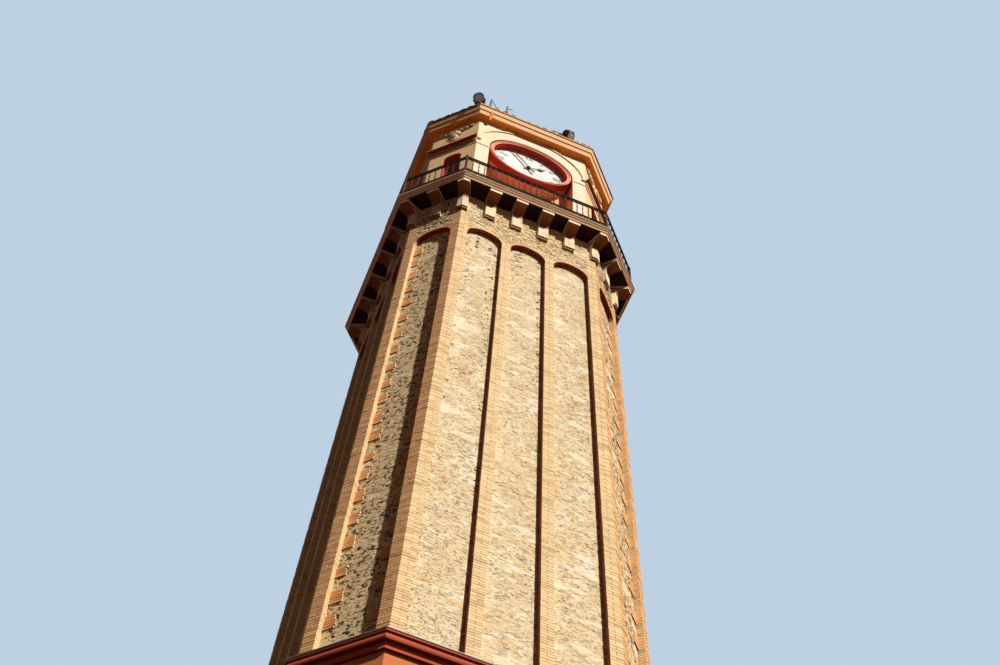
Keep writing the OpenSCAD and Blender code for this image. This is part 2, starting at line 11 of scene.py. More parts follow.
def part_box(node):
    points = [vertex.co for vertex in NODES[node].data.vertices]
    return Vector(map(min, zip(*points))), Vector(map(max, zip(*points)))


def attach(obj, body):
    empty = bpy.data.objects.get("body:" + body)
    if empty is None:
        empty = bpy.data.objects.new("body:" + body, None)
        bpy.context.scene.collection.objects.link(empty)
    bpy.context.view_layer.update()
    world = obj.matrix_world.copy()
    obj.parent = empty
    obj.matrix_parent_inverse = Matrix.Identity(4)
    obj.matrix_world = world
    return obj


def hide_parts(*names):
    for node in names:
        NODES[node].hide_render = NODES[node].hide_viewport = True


bl_info = {
    "name": "Clock Tower Dressing",
    "version": (1, 0, 0),
    "blender": (4, 5, 0),
    "location": "3D View > Sidebar > Clock Tower",
    "description": "Lays the masonry and finishes on the packed clock tower",
    "category": "Object",
}

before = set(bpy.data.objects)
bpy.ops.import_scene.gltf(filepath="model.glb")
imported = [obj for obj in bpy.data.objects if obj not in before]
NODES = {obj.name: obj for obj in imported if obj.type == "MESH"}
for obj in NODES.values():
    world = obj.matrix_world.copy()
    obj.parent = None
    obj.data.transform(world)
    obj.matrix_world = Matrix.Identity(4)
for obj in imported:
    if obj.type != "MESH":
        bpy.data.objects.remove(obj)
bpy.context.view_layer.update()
TOWER = "tower"

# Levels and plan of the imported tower, in metres
ROOT2 = math.sqrt(2)
T_HALF = math.tan(math.radians(22.5))
BASE_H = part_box("shaft_wide_cores")[0].z
BALCONY_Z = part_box("shaft_wide_cores")[1].z
SLAB_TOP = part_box("balcony_slab")[1].z
SOFFIT_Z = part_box("clock_wall_front")[1].z
ROOF_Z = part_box("top_cornice")[1].z
# What a wide face moves out for each metre down, and half its length as a share of its distance
LEAN = 0.0112
WIDE = 0.648
SHAFT_FOOT = -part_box("brick_frame_front")[0].y
SHAFT_TOP = SHAFT_FOOT - LEAN * (BALCONY_Z - BASE_H)
BASE_A = -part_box("base_front_wall")[0].y
BASE_C = SHAFT_FOOT * WIDE + (BASE_A - SHAFT_FOOT) * T_HALF
PANEL_DEPTH = SHAFT_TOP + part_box("brick_frame_front")[1].y
# Widths as shares of half a wide face, the panel of a narrow face as a share of that face
PANEL_SHARE = 0.5047
PIER_SHARE = (2 - 3 * PANEL_SHARE) / 4
NARROW_SHARE = 0.71
PANEL_PIER = PIER_SHARE * SHAFT_TOP * WIDE
SPRING_Z = BALCONY_Z - 1.8
ROOM_HALF = -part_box("clock_wall_front")[0].y
ROOM_SIDE = 1.262
CLOCK_Z = BALCONY_Z + 3.585
DIAL_SET = 0.168
FACES = ("front", "right", "back", "left")


# Turns a piece that was made upright to point out of a wall
FORWARD = Matrix.Rotation(math.pi / 2, 4, "X")


# Plan of the tower


def shaft_reach(z):
    """Distance of the shaft's wide faces from its axis at a height."""
    return SHAFT_TOP + LEAN * (BALCONY_Z - z)


def side_dist(i, a, c):
    return a if i % 2 == 0 else (a + c) / ROOT2


def side_half(i, a, c):
    return c if i % 2 == 0 else (a - c) / ROOT2


class Side:
    """One of the eight faces, with points given along it, outward from it and up."""

    def __init__(self, i):
        self.i = i
        self.wide = i % 2 == 0
        self.turn = math.radians(45 * i)
        self.matrix = Matrix.Rotation(self.turn, 4, "Z")
        self.along = Vector((math.cos(self.turn), math.sin(self.turn), 0))
        self.out = Vector((math.sin(self.turn), -math.cos(self.turn), 0))

    def at(self, dist, along, z):
        return self.along * along + self.out * dist + Vector((0, 0, z))

    def shaft_dist(self, z):
        a = shaft_reach(z)
        return side_dist(self.i, a, WIDE * a)

    def shaft_half(self, z):
        a = shaft_reach(z)
        return side_half(self.i, a, WIDE * a)

    def shaft(self, along, out, z):
        return self.at(self.shaft_dist(z) + out, along, z)

    def ring(self, a, c, out=0.0):
        """Distance and half length of this face in an octagon moved out."""
        return side_dist(self.i, a, c) + out, side_half(self.i, a, c) + out * T_HALF

    def panels(self, z):
        """(centre, width) of each recessed panel at a height."""
        half = self.shaft_half(z)
        if not self.wide:
            return [(0.0, 2 * half * NARROW_SHARE)]
        pitch = PANEL_SHARE + PIER_SHARE
        return [(k * half * pitch, half * PANEL_SHARE) for k in (-1, 0, 1)]


SIDES = [Side(i) for i in range(8)]
WIDE_SIDES = SIDES[0::2]
CORNER_SIDES = SIDES[1::2]


# Shader maths


class Wire:
    """A node's output that takes part in Python expressions."""

    def __init__(self, nodes, socket):
        self.nodes = nodes
        self.socket = socket

    def _math(self, operation, a, b=None):
        values = {0: a} if b is None else {0: a, 1: b}
        return self.nodes.node("ShaderNodeMath", {"operation": operation}, values)

    def __add__(self, other):
        return self._math("ADD", self, other)

    def __radd__(self, other):
        return self._math("ADD", other, self)

    def __sub__(self, other):
        return self._math("SUBTRACT", self, other)

    def __rsub__(self, other):
        return self._math("SUBTRACT", other, self)

    def __mul__(self, other):
        return self._math("MULTIPLY", self, other)

    def __rmul__(self, other):
        return self._math("MULTIPLY", other, self)

    def __gt__(self, other):
        return self._math("GREATER_THAN", self, other)

    def __lt__(self, other):
        return self._math("LESS_THAN", self, other)

    def __abs__(self):
        return self._math("ABSOLUTE", self)


def linear(rgb):
    """An sRGB colour, 0 to 1, as the linear RGBA that shader sockets hold."""
    return tuple(c / 12.92 if c <= 0.04045 else ((c + 0.055) / 1.055) ** 2.4 for c in rgb[:3]) + (1.0,)


def shade_of(rgb, share):
    """The same colour, darker or lighter by a share."""
    return tuple(min(c * share, 1.0) for c in rgb[:3])


class Nodes:
    """A node tree, emptied, and the one method that adds nodes to it."""

    def __init__(self, tree):
        self.tree = tree
        tree.nodes.clear()

    def node(self, kind, settings, values, output=0):
        """Adds a node: its settings first, then a value or a link for each of its sockets."""
        made = self.tree.nodes.new(kind)
        for key, value in settings.items():
            if key == "stops":
                self._set_stops(made.color_ramp, value)
            else:
                setattr(made, key, value)
        for key, value in values.items():
            self.feed(made.inputs[key], value)
        return Wire(self, made.outputs[output]) if made.outputs else None

    @staticmethod
    def _set_stops(ramp, stops):
        while len(ramp.elements) > 1:
            ramp.elements.remove(ramp.elements[-1])
        ramp.elements[0].position, ramp.elements[0].color = stops[0]
        for place, colour in stops[1:]:
            ramp.elements.new(place).color = colour

    def feed(self, socket, value):
        if isinstance(value, Wire):
            self.tree.links.new(value.socket, socket)
        else:
            socket.default_value = value

    def seen_directly(self):
        """1 for what the camera sees, itself or by a reflection or through glass."""
        camera, glossy, through = (
            self.node("ShaderNodeLightPath", {}, {}, f"Is {ray} Ray")
            for ray in ("Camera", "Glossy", "Transmission"))
        return self.node("ShaderNodeClamp", {}, {0: camera + glossy + through})


class Finish(Nodes):
    """A procedural material on Object coordinates."""

    def __init__(self, name):
        self.material = bpy.data.materials.new(name)
        self.material.use_nodes = True
        super().__init__(self.material.node_tree)
        shader = self.node("ShaderNodeBsdfPrincipled", {}, {})
        self.node("ShaderNodeOutputMaterial", {}, {0: shader})
        self.shader = shader.socket.node
        self.position = self.node("ShaderNodeTexCoord", {}, {}, "Object")

    def noise(self, scale, detail=4.0, rough=0.55, vector=None):
        values = {"Vector": vector or self.position, "Scale": scale, "Detail": detail, "Roughness": rough}
        return self.node("ShaderNodeTexNoise", {}, values)

    def stretched(self, x, y, z):
        return self.node("ShaderNodeMapping", {}, {"Vector": self.position, "Scale": (x, y, z)})

    def parts(self, vector=None):
        """A vector's x, y and z; the point's own where none is given."""
        split = self.node("ShaderNodeSeparateXYZ", {}, {0: vector or self.position})
        return [Wire(self, socket) for socket in split.socket.node.outputs]

    def normal(self):
        return self.parts(self.node("ShaderNodeNewGeometry", {}, {}, "Normal"))

    def plan(self):
        """Distance from the axis of a point's wide face and of its narrow face, as if it lay on that face."""
        x, y = (abs(part) for part in self.parts()[:2])
        widest = self.node("ShaderNodeMath", {"operation": "MAXIMUM"}, {0: x, 1: y})
        return widest, (x + y) * (1 / ROOT2)

    def on_narrow(self):
        """1 on the fronts of the shaft's narrow faces, 0 on the wide faces and on every reveal."""
        x, y = self.parts()[:2]
        nx, ny = self.normal()[:2]
        # A front lies as far out along its normal as the face does, and the narrow faces lie further out
        return self.between(x * nx + y * ny, 2.30, 2.34)

    def on_shaded_reveal(self):
        """1 on one of each panel's reveals, the left-facing one that stands in shade, except where it looks
        to the sunny front; the finishes paint shade there.
        """
        x, y = self.parts()[:2]
        nx, ny = self.normal()[:2]
        left = self.below(x * ny - y * nx, -1.9, -1.7)
        return left * self.between(ny, -0.55, -0.35)

    def beside_corner(self):
        """1 on and in the shaft's narrow faces, 0 elsewhere."""
        wide, narrow = self.plan()
        return self.between(narrow - wide * ((1 + WIDE) / ROOT2), -0.01, 0.004)

    def underside(self, low=-0.55, high=-0.15):
        """1 on what faces down; the limits are those of its normal's z."""
        return self.below(self.normal()[2], low, high)

    def between(self, value, low, high):
        """0 below low, 1 above high, smooth between."""
        settings = {"interpolation_type": "SMOOTHSTEP"}
        return self.node("ShaderNodeMapRange", settings, {"Value": value, "From Min": low, "From Max": high})

    def below(self, value, low, high):
        """1 below low, 0 above high, smooth between."""
        return 1.0 - self.between(value, low, high)

    def ramp(self, value, *stops):
        stops = [(place, linear(colour)) for place, colour in stops]
        return self.node("ShaderNodeValToRGB", {"stops": stops}, {"Fac": value}, "Color")

    def mix(self, factor, a, b):
        """From colour a to colour b; a Mix node's colours are its sockets 6 and 7, and output 2."""
        a, b = (v if isinstance(v, Wire) else linear(v) for v in (a, b))
        return self.node("ShaderNodeMix", {"data_type": "RGBA"}, {0: factor, 6: a, 7: b}, 2)

    def attribute(self, name):
        return self.node("ShaderNodeAttribute", {"attribute_name": name}, {}, "Fac")

    def cracks(self, scale, width):
        """Thin wandering lines where cells meet."""
        wander = self.noise(scale * 1.5, 5.0, 0.6)
        bent = self.node("ShaderNodeVectorMath", {"operation": "ADD"}, {0: self.position, 1: wander})
        edge = self.node(
            "ShaderNodeTexVoronoi", {"feature": "DISTANCE_TO_EDGE"},
            {"Vector": bent, "Scale": scale}, "Distance")
        return self.below(edge, 0.0, width) * self.between(self.noise(scale * 0.6), 0.5, 0.62)

    def finish(self, colour, roughness=0.85, height=None, depth=0.01, metallic=0.0, coat=0.0, gloss=0.5):
        """Feeds the shader; the bump's height is a share of depth, in metres."""
        self.shader.inputs["Specular IOR Level"].default_value = gloss
        self.feed(self.shader.inputs["Base Color"], colour if isinstance(colour, Wire) else linear(colour))
        self.feed(self.shader.inputs["Roughness"], roughness)
        self.feed(self.shader.inputs["Metallic"], metallic)
        self.feed(self.shader.inputs["Coat Weight"], coat)
        if height is not None:
            bump = self.node("ShaderNodeBump", {}, {"Strength": 1.0, "Distance": depth, "Height": height})
            self.feed(self.shader.inputs["Normal"], bump)
        return self.material


# Finishes


# How much chalky masonry mirrors, where 0.5 is glass
MATT = 0.1


def brick_finish(name, tone, narrow_shade, painted_shade_under):
    """Thin bricks, each with its own shade, limed and flecked, and of deeper colours on the narrow faces,
    which are painted shade.

    The first of the last two arguments is the palest and the deepest of those painted-shade colours; the last
    puts painted shade on every underside, and without it only on the undersides at the narrow faces.
    """
    f = Finish(name)
    base = f.ramp(
        f.attribute("shade"), (0.0, shade_of(tone, 0.86)), (0.25, shade_of(tone, 0.95)),
        (0.5, tone), (0.75, shade_of(tone, 0.98)), (0.92, shade_of(tone, 1.04)), (1.0, shade_of(tone, 0.86)),
    )
    blotch = f.noise(2.2, 5.0, 0.6)
    fine = f.noise(60.0, 3.0)
    lime = f.between(f.noise(7.0, 6.0, 0.7), 0.55, 0.72)
    colour = f.mix(f.between(blotch, 0.4, 0.7) * 0.35, base, (tone[0] * 0.97, tone[1] * 0.91, tone[2] * 0.82))
    colour = f.mix(lime * 0.35, colour, (0.97, 0.87, 0.70))
    # Painted shade: the narrow faces' bricks take deeper colours
    deeper = f.ramp(f.attribute("shade"), (0.0, narrow_shade[0]), (1.0, narrow_shade[1]))
    colour = f.mix(f.on_narrow() * 0.6, colour, deeper)
    # Painted shade: the shaded reveals turn deep maroon
    colour = f.mix(f.on_shaded_reveal() * 0.92, colour, (0.46, 0.08, 0.03))
    # Painted shade on undersides: on all of them, or only at the narrow faces
    soot_and_shade = f.underside()
    colour = f.mix(soot_and_shade if painted_shade_under else soot_and_shade * f.beside_corner(), colour, (0.52, 0.22, 0.12))
    colour = f.mix(f.between(fine, 0.58, 0.8) * 0.3, colour, (0.50, 0.32, 0.20))
    return f.finish(colour, f.between(fine, 0.2, 0.8) * 0.2 + 0.75, fine + blotch * 0.6, 0.004, gloss=MATT)


def mortar_finish():
    """Lime mortar behind the bricks, painted dark as shade on the narrow faces, under them and on the shaded
    reveals.
    """
    f = Finish("lime_mortar")
    blotch = f.noise(1.7, 6.0, 0.65)
    grit = f.noise(45.0, 4.0)
    colour = f.ramp(blotch, (0.3, (0.88, 0.73, 0.52)), (0.5, (0.93, 0.79, 0.58)), (0.7, (0.97, 0.85, 0.66)))
    # Painted shade: dark joints on the narrow faces, darker undersides there and deep maroon shaded reveals
    colour = f.mix(f.on_narrow() * 0.95, colour, (0.20, 0.09, 0.06))
    colour = f.mix(f.underside() * f.beside_corner(), colour, (0.45, 0.19, 0.11))
    colour = f.mix(f.on_shaded_reveal() * 0.92, colour, (0.38, 0.07, 0.03))
    colour = f.mix(f.between(grit, 0.58, 0.75) * 0.5, colour, (0.44, 0.33, 0.21))
    return f.finish(colour, 0.92, grit + blotch * 0.5, 0.008, gloss=MATT)


def rubble_finish(name, stones, smear_share):
    """Rough stones, or else their bedding, in creams and ochres, smeared with lime and pitted."""
    f = Finish(name)
    base = f.ramp(
        f.attribute("shade") if stones else f.noise(2.6, 4.0, 0.6),
        (0.0, (0.93, 0.83, 0.66)), (0.2, (0.97, 0.88, 0.72)), (0.38, (0.91, 0.81, 0.63)),
        (0.52, (0.95, 0.85, 0.67)), (0.66, (1.0, 0.96, 0.87)), (0.82, (0.94, 0.80, 0.58)),
        (0.92, (0.88, 0.82, 0.70)), (1.0, (0.90, 0.66, 0.42)),
    )
    blotch = f.noise(6.0, 6.0, 0.65)
    smear = f.between(f.noise(0.8, 6.0, 0.7), 0.42, 0.60)
    # Small ragged pits and thin open seams, lying along the beds, and dark speckles on the narrow faces which
    # are painted shade of raking light
    bed = f.stretched(1.0, 1.0, 2.2)
    narrow = f.on_narrow()
    region = f.between(f.noise(1.6, 4.0, 0.6), 0.30, 0.62)
    pit = f.between(f.noise(19.0, 5.0, 0.75, bed), 0.575, 0.60) * (region * 0.75 + 0.25)
    raking_speckle = f.between(f.noise(14.0, 4.0, 0.7), 0.53, 0.56) * narrow * f.between(f.noise(2.0, 3.0), 0.30, 0.46)
    seam = f.below(abs(f.noise(5.5, 5.0, 0.65, bed) - 0.5), 0.002, 0.016)
    seam = seam * f.between(f.noise(6.0, 3.0), 0.44, 0.56)
    chips = f.between(f.noise(26.0, 4.0, 0.7, bed), 0.50, 0.62)
    grit = f.noise(90.0, 4.0)
    colour = f.mix(f.between(blotch, 0.4, 0.7) * 0.4, base, (0.94, 0.84, 0.67))
    colour = f.mix(smear * smear_share, colour, (0.95, 0.87, 0.71))
    colour = f.mix(chips * 0.3, colour, (0.99, 0.95, 0.86))
    # Painted light: the narrow faces are paler and warmer, making up for the weaker light on them
    colour = f.mix(narrow * 0.7, colour, (1.0, 0.86, 0.65))
    smooth = f.between(f.noise(1.4, 3.0, 0.5, bed), 0.60, 0.63)
    colour = f.mix(smooth * 0.7, colour, (1.0, 0.95, 0.85))
    colour = f.mix(f.between(grit, 0.6, 0.78) * 0.3, colour, (0.60, 0.44, 0.28))
    rough = 1.0 - smooth * 0.8
    colour = f.mix(seam * rough * 0.7, colour, (0.42, 0.26, 0.13))
    colour = f.mix(pit * rough * 0.95, colour, (0.30, 0.16, 0.07))
    colour = f.mix(raking_speckle * rough * 0.95, colour, (0.17, 0.08, 0.05))
    height = blotch * 0.5 + grit * 0.25 + chips * 0.3 - (pit + raking_speckle + seam * 0.7) * rough
    return f.finish(colour, 0.92, height, 0.0055, gloss=MATT)


def paint_finish(
        name, tone, under=None, stain=(0.42, 0.24, 0.14), wear=0.35, streaked=0.3, inside=None, low=None):
    """Matt paint on render: clouded, streaked by rain, finely cracked, and of another colour underneath.

    inside is (which plan distance, its limit, colour) for what lies deeper than the wall's face. low is
    (height, wide distance, narrow distance), and keeps the under colour below and within them.
    """
    f = Finish(name)
    cloud = f.noise(1.1, 6.0, 0.6)
    mottle = f.noise(9.0, 6.0, 0.7)
    fine = f.noise(80.0, 3.0)
    drip = f.noise(1.0, 5.0, 0.6, f.stretched(9.0, 9.0, 0.55))
    colour = f.mix(f.between(cloud, 0.38, 0.68) * wear, tone, shade_of(tone, 0.86))
    colour = f.mix(f.between(mottle, 0.52, 0.75) * wear, colour, shade_of(tone, 1.07))
    if under:
        # Undersides take the under colour: painted shade on most pieces, and paint with painted bounce light
        # on the cornice's soffit
        below = f.underside(-0.62, -0.42)
        if low:
            below = below * f.below(f.parts()[2], low[0], low[0] + 0.004)
            for distance, limit in zip(f.plan(), low[1:]):
                below = below * f.below(distance, limit - 0.01, limit)
        under_mottled = f.mix(f.between(mottle, 0.4, 0.7) * 0.4, under, shade_of(under, 0.8))
        colour = f.mix(below, colour, under_mottled)
    if inside:
        which, limit, deep = inside
        set_back = f.below(f.plan()[which], limit - 0.006, limit)
        colour = f.mix(set_back, colour, f.mix(f.between(cloud, 0.35, 0.7) * 0.5, deep, shade_of(deep, 0.85)))
    colour = f.mix(f.between(drip, 0.58, 0.74) * streaked, colour, stain)
    colour = f.mix(f.cracks(1.4, 0.006) * 0.45, colour, shade_of(stain, 0.8))
    colour = f.mix(f.between(fine, 0.62, 0.8) * 0.18, colour, stain)
    return f.finish(colour, f.between(cloud, 0.3, 0.7) * 0.12 + 0.78, fine * 0.4 + mottle, 0.003, gloss=MATT)


def stone_finish(name, tone, soil=0.35, tooled=True, under=None):
    """Dressed stone with tool marks, rain stains, dark pores and perhaps painted shade underneath."""
    f = Finish(name)
    cloud = f.noise(2.4, 6.0, 0.65)
    pores = f.between(f.noise(38.0, 4.0, 0.7), 0.62, 0.72)
    drip = f.noise(1.0, 5.0, 0.6, f.stretched(14.0, 14.0, 1.0))
    marks = f.noise(26.0, 2.0, 0.5, f.stretched(2.6, 2.6, 0.6))
    colour = f.ramp(cloud, (0.3, shade_of(tone, 0.84)), (0.5, tone), (0.72, shade_of(tone, 1.06)))
    if under:
        colour = f.mix(f.underside(-0.34, -0.06), colour, under)
    colour = f.mix(f.between(drip, 0.54, 0.75) * soil, colour, (0.46, 0.34, 0.22))
    colour = f.mix(pores * 0.5, colour, (0.36, 0.27, 0.18))
    height = cloud * 0.8 - pores + (marks * 0.7 if tooled else 0.0)
    return f.finish(colour, 0.88, height, 0.005, gloss=MATT)


def metal_paint_finish(name, tone, rust=0.35, roughness=0.5, under=None):
    """Old paint on iron, chipped to rust, and perhaps black underneath as painted shade."""
    f = Finish(name)
    cloud = f.noise(6.0, 5.0, 0.6)
    chip = f.between(f.noise(34.0, 6.0, 0.75), 0.58, 0.64)
    colour = f.mix(f.between(cloud, 0.4, 0.7) * 0.5, tone, shade_of(tone, 1.25))
    colour = f.mix(chip * rust, colour, (0.44, 0.20, 0.10))
    if under:
        colour = f.mix(f.underside(-0.75, -0.35), colour, under)
    rough = f.between(cloud, 0.3, 0.7) * 0.2 + roughness
    return f.finish(colour, rough, cloud * 0.5 - chip, 0.0012, gloss=0.2)


def sheet_finish(name, tone, metallic=0.6):
    """Weathered bare sheet: dull patches, run-off streaks and fine scratches."""
    f = Finish(name)
    cloud = f.noise(3.0, 6.0, 0.65)
    drip = f.noise(1.0, 4.0, 0.6, f.stretched(20.0, 20.0, 1.2))
    colour = f.ramp(cloud, (0.3, shade_of(tone, 0.72)), (0.55, tone), (0.75, shade_of(tone, 1.15)))
    colour = f.mix(f.between(drip, 0.55, 0.7) * 0.35, colour, (0.30, 0.25, 0.20))
    return f.finish(colour, f.between(cloud, 0.3, 0.7) * 0.25 + 0.4, cloud, 0.002, metallic)


def dial_finish():
    """White enamel, dulled by rain and soot towards its rim."""
    f = Finish("dial_enamel")
    rise = f.parts()[2] - CLOCK_Z
    cloud = f.noise(3.5, 6.0, 0.65)
    spots = f.between(f.noise(26.0, 4.0, 0.7), 0.66, 0.74)
    drip = f.noise(1.0, 4.0, 0.6, f.stretched(16.0, 16.0, 1.0))
    colour = f.ramp(cloud, (0.3, (0.90, 0.90, 0.86)), (0.55, (0.96, 0.96, 0.93)), (0.8, (0.98, 0.98, 0.96)))
    colour = f.mix(f.between(drip, 0.5, 0.72) * f.below(rise, -0.85, 0.1) * 0.5, colour, (0.66, 0.62, 0.54))
    colour = f.mix(spots * 0.3, colour, (0.56, 0.50, 0.42))
    return f.finish(colour, f.between(cloud, 0.3, 0.7) * 0.2 + 0.3, cloud, 0.0008, 0.0, 0.2)


# Colour of the niches and of the drums' far ends, which stand in them
NICHE = (1.0, 0.72, 0.54)


def drum_finish(rim, barrel):
    """Clock drums: a pale rim facing outwards and a barrel whose red paint is deepened with painted shade."""
    f = Finish("drum_paint")
    x, y = (abs(part) for part in f.parts()[:2])
    nx, ny = (abs(part) for part in f.normal()[:2])
    front = y > x
    facing = front * ny + (1.0 - front) * nx
    reach = f.plan()[0]
    cloud = f.noise(4.0, 6.0, 0.65)
    mottle = f.noise(22.0, 5.0, 0.7)
    # The barrel is deep red near the rim only, its paint with painted shade, and painted as the niche is
    # behind that
    body = f.mix(f.between(reach, ROOM_HALF - 0.185, ROOM_HALF - 0.175), NICHE, barrel)
    colour = f.mix(f.between(facing, 0.25, 0.7), body, rim)
    colour = f.mix(f.between(cloud, 0.45, 0.7) * 0.35, colour, shade_of(barrel, 0.8))
    colour = f.mix(f.between(mottle, 0.6, 0.75) * 0.4, colour, (0.95, 0.72, 0.56))
    return f.finish(colour, 0.7, mottle + cloud, 0.002)


def tile_finish():
    """Fired clay, mottled from straw to burnt brown, with lichen."""
    f = Finish("roof_clay")
    base = f.ramp(
        f.attribute("shade"),
        (0.0, (0.62, 0.33, 0.20)), (0.3, (0.74, 0.44, 0.27)), (0.55, (0.80, 0.54, 0.36)),
        (0.8, (0.66, 0.37, 0.24)), (1.0, (0.52, 0.30, 0.20)),
    )
    cloud = f.noise(9.0, 6.0, 0.65)
    lichen = f.between(f.noise(14.0, 6.0, 0.75), 0.60, 0.68)
    soot_and_shade = f.between(f.noise(3.0, 5.0, 0.6), 0.5, 0.72)
    colour = f.mix(f.between(cloud, 0.4, 0.7) * 0.4, base, (0.86, 0.64, 0.45))
    colour = f.mix(soot_and_shade * 0.45, colour, (0.30, 0.22, 0.17))
    colour = f.mix(lichen * 0.6, colour, (0.70, 0.68, 0.52))
    return f.finish(colour, 0.9, cloud + lichen * 0.6, 0.004)


def wood_finish(name, tone, painted):
    """Upright boards: grain along them, worn paint or oil, and damp at the foot."""
    f = Finish(name)
    grain = f.noise(1.0, 6.0, 0.65, f.stretched(70.0, 70.0, 2.4))
    cloud = f.noise(3.0, 5.0, 0.6)
    peel = f.between(f.noise(18.0, 6.0, 0.75), 0.61, 0.66)
    colour = f.mix(f.between(grain, 0.4, 0.66) * 0.5, tone, shade_of(tone, 0.62))
    colour = f.mix(f.between(cloud, 0.42, 0.7) * 0.3, colour, shade_of(tone, 1.3))
    if painted:
        colour = f.mix(peel * 0.4, colour, (0.46, 0.30, 0.20))
    return f.finish(colour, f.between(grain, 0.3, 0.7) * 0.2 + 0.55, grain - peel * 0.5, 0.002)


def plain_paint_finish(name, tone, roughness=0.45, coat=0.0, dust=0.3):
    """A coat of paint or a lens under a little dust."""
    f = Finish(name)
    cloud = f.noise(12.0, 5.0, 0.6)
    colour = f.mix(f.between(cloud, 0.45, 0.75) * dust, tone, (0.52, 0.48, 0.42))
    return f.finish(colour, f.between(cloud, 0.3, 0.7) * 0.15 + roughness, cloud, 0.0006, 0.0, coat)


# Mesh helpers


def as_object(name, mesh):
    piece = bpy.data.objects.new(name, mesh)
    bpy.context.scene.collection.objects.link(piece)
    return piece


def mesh_of(name, verts, faces):
    """A mesh from plain lists, its closed parts facing outwards."""
    mesh = bpy.data.meshes.new(name)
    mesh.from_pydata(verts, [], faces)
    bm = bmesh.new()
    bm.from_mesh(mesh)
    bmesh.ops.recalc_face_normals(bm, faces=bm.faces)
    bm.to_mesh(mesh)
    bm.free()
    return mesh


def keep(piece, slot, *replaced, body=TOWER):
    """Gives a finished piece its body and the nodes it stands for; slot is not used."""
    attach(piece, body)
    if replaced:
        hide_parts(*replaced)


def dress(material, *nodes):
    """Gives CAD nodes their finish."""
    for name in nodes:
        for slot in NODES[name].material_slots:
            slot.material = material
        if not NODES[name].material_slots:
            NODES[name].data.materials.append(material)


class Shape:
    """Points and faces gathered for one piece. Local points go along x, outward along -y and up along z."""

    def __init__(self):
        self.verts, self.faces, self.shade = [], [], []

    def add(self, solid, matrix=None, tone=0.5):
        verts, faces = solid
        start = len(self.verts)
        self.verts += [tuple(matrix @ Vector(v)) if matrix else tuple(v) for v in verts]
        self.faces += [tuple(start + k for k in face) for face in faces]
        self.shade += [tone] * len(verts)

    def keep(self, name, slot, material, *replaced, body=TOWER, smooth=False):
        """Makes the piece, with each point's tone as its shade attribute, and keeps it."""
        mesh = mesh_of(name, self.verts, self.faces)
        mesh.attributes.new("shade", "FLOAT", "POINT").data.foreach_set("value", self.shade)
        mesh.materials.append(material)
        if smooth:
            mesh.polygons.foreach_set("use_smooth", [True] * len(mesh.polygons))
        keep(as_object(name, mesh), slot, *replaced, body=body)


def moved(x, y, z):
    return Matrix.Translation((x, y, z))


def circle(r, n, high=None):
    """Points round a circle, or an ellipse where its half height is given."""
    high = r if high is None else high
    return [(r * math.cos(a), high * math.sin(a)) for a in (2 * math.pi * k / n for k in range(n))]


def rings_solid(rings, closed_ring=False):
    """A solid through rings of as many points each, capped unless it closes on itself."""
    n = len(rings[0])
    verts = [p for ring in rings for p in ring]
    faces = []
    m = len(rings)
    for j in range(m if closed_ring else m - 1):
        a, b = j * n, (j + 1) % m * n
        faces += [(a + k, a + (k + 1) % n, b + (k + 1) % n, b + k) for k in range(n)]
    if not closed_ring:
        faces += [tuple(range(n - 1, -1, -1)), tuple((m - 1) * n + k for k in range(n))]
    return verts, faces


def slab(outline, y0, y1):
    """An outline of (x, z) points made solid between two depths."""
    return rings_solid([[(x, y0, z) for x, z in outline], [(x, y1, z) for x, z in outline]])


def block(x0, x1, y0, y1, z0, z1, edge=0.0):
    """A block with its front edges, at y0, taken off."""
    if edge == 0:
        return slab([(x0, z0), (x1, z0), (x1, z1), (x0, z1)], y0, y1)

    def rect(inset, y):
        return [(x0 + inset, y, z0 + inset), (x1 - inset, y, z0 + inset),
                (x1 - inset, y, z1 - inset), (x0 + inset, y, z1 - inset)]

    return rings_solid([rect(0, y1), rect(0, y0 + edge), rect(edge, y0)])


def lathed(profile, n=24):
    """A solid turned about z from [radius, z] points; a ring where the profile closes away from the axis."""
    return rings_solid([[(r * x, r * y, z) for r, z in profile] for x, y in circle(1.0, n)], closed_ring=True)


def capped_lathe(profile, n=24):
    """A turned solid whose first and last points lie off the axis and are closed by flat discs."""
    return rings_solid([[(x, y, z) for x, y in circle(r, n)] for r, z in profile])


def flat_wire(path, w, t, closed=False):
    """A flat bar, w wide in the XZ plane and t deep, along a path of (x, z) points."""
    rings = []
    n = len(path)
    for k, (x, z) in enumerate(path):
        a = path[k - 1] if (k or closed) else path[0]
        b = path[(k + 1) % n] if (k < n - 1 or closed) else path[-1]
        d = Vector((b[0] - a[0], b[1] - a[1])).normalized()
        px, pz = -d.y * w / 2, d.x * w / 2
        near, far = (x + px, z + pz), (x - px, z - pz)
        around = (near, -t / 2), (far, -t / 2), (far, t / 2), (near, t / 2)
        rings.append([(p[0], y, p[1]) for p, y in around])
    return rings_solid(rings, closed_ring=closed)


def stamp_of(name, solid):
    """A loose object for the laying tree."""
    return bpy.data.objects.new(name, mesh_of(name, *solid))


def box_stamp(name, edge=0.0):
    """A unit block centred on the origin, its front edges perhaps taken off."""
    return stamp_of(name, block(-0.5, 0.5, -0.5, 0.5, -0.5, 0.5, edge))


def prism_stamp(name, plan):
    """A stamp one unit tall over a plan outline."""
    return stamp_of(name, rings_solid([[(x, y, z) for x, y in plan] for z in (0.0, 1.0)]))


# Geometry nodes


# How many waves of unevenness a metre of laid pieces has
EDGE_GRAIN = 7.0


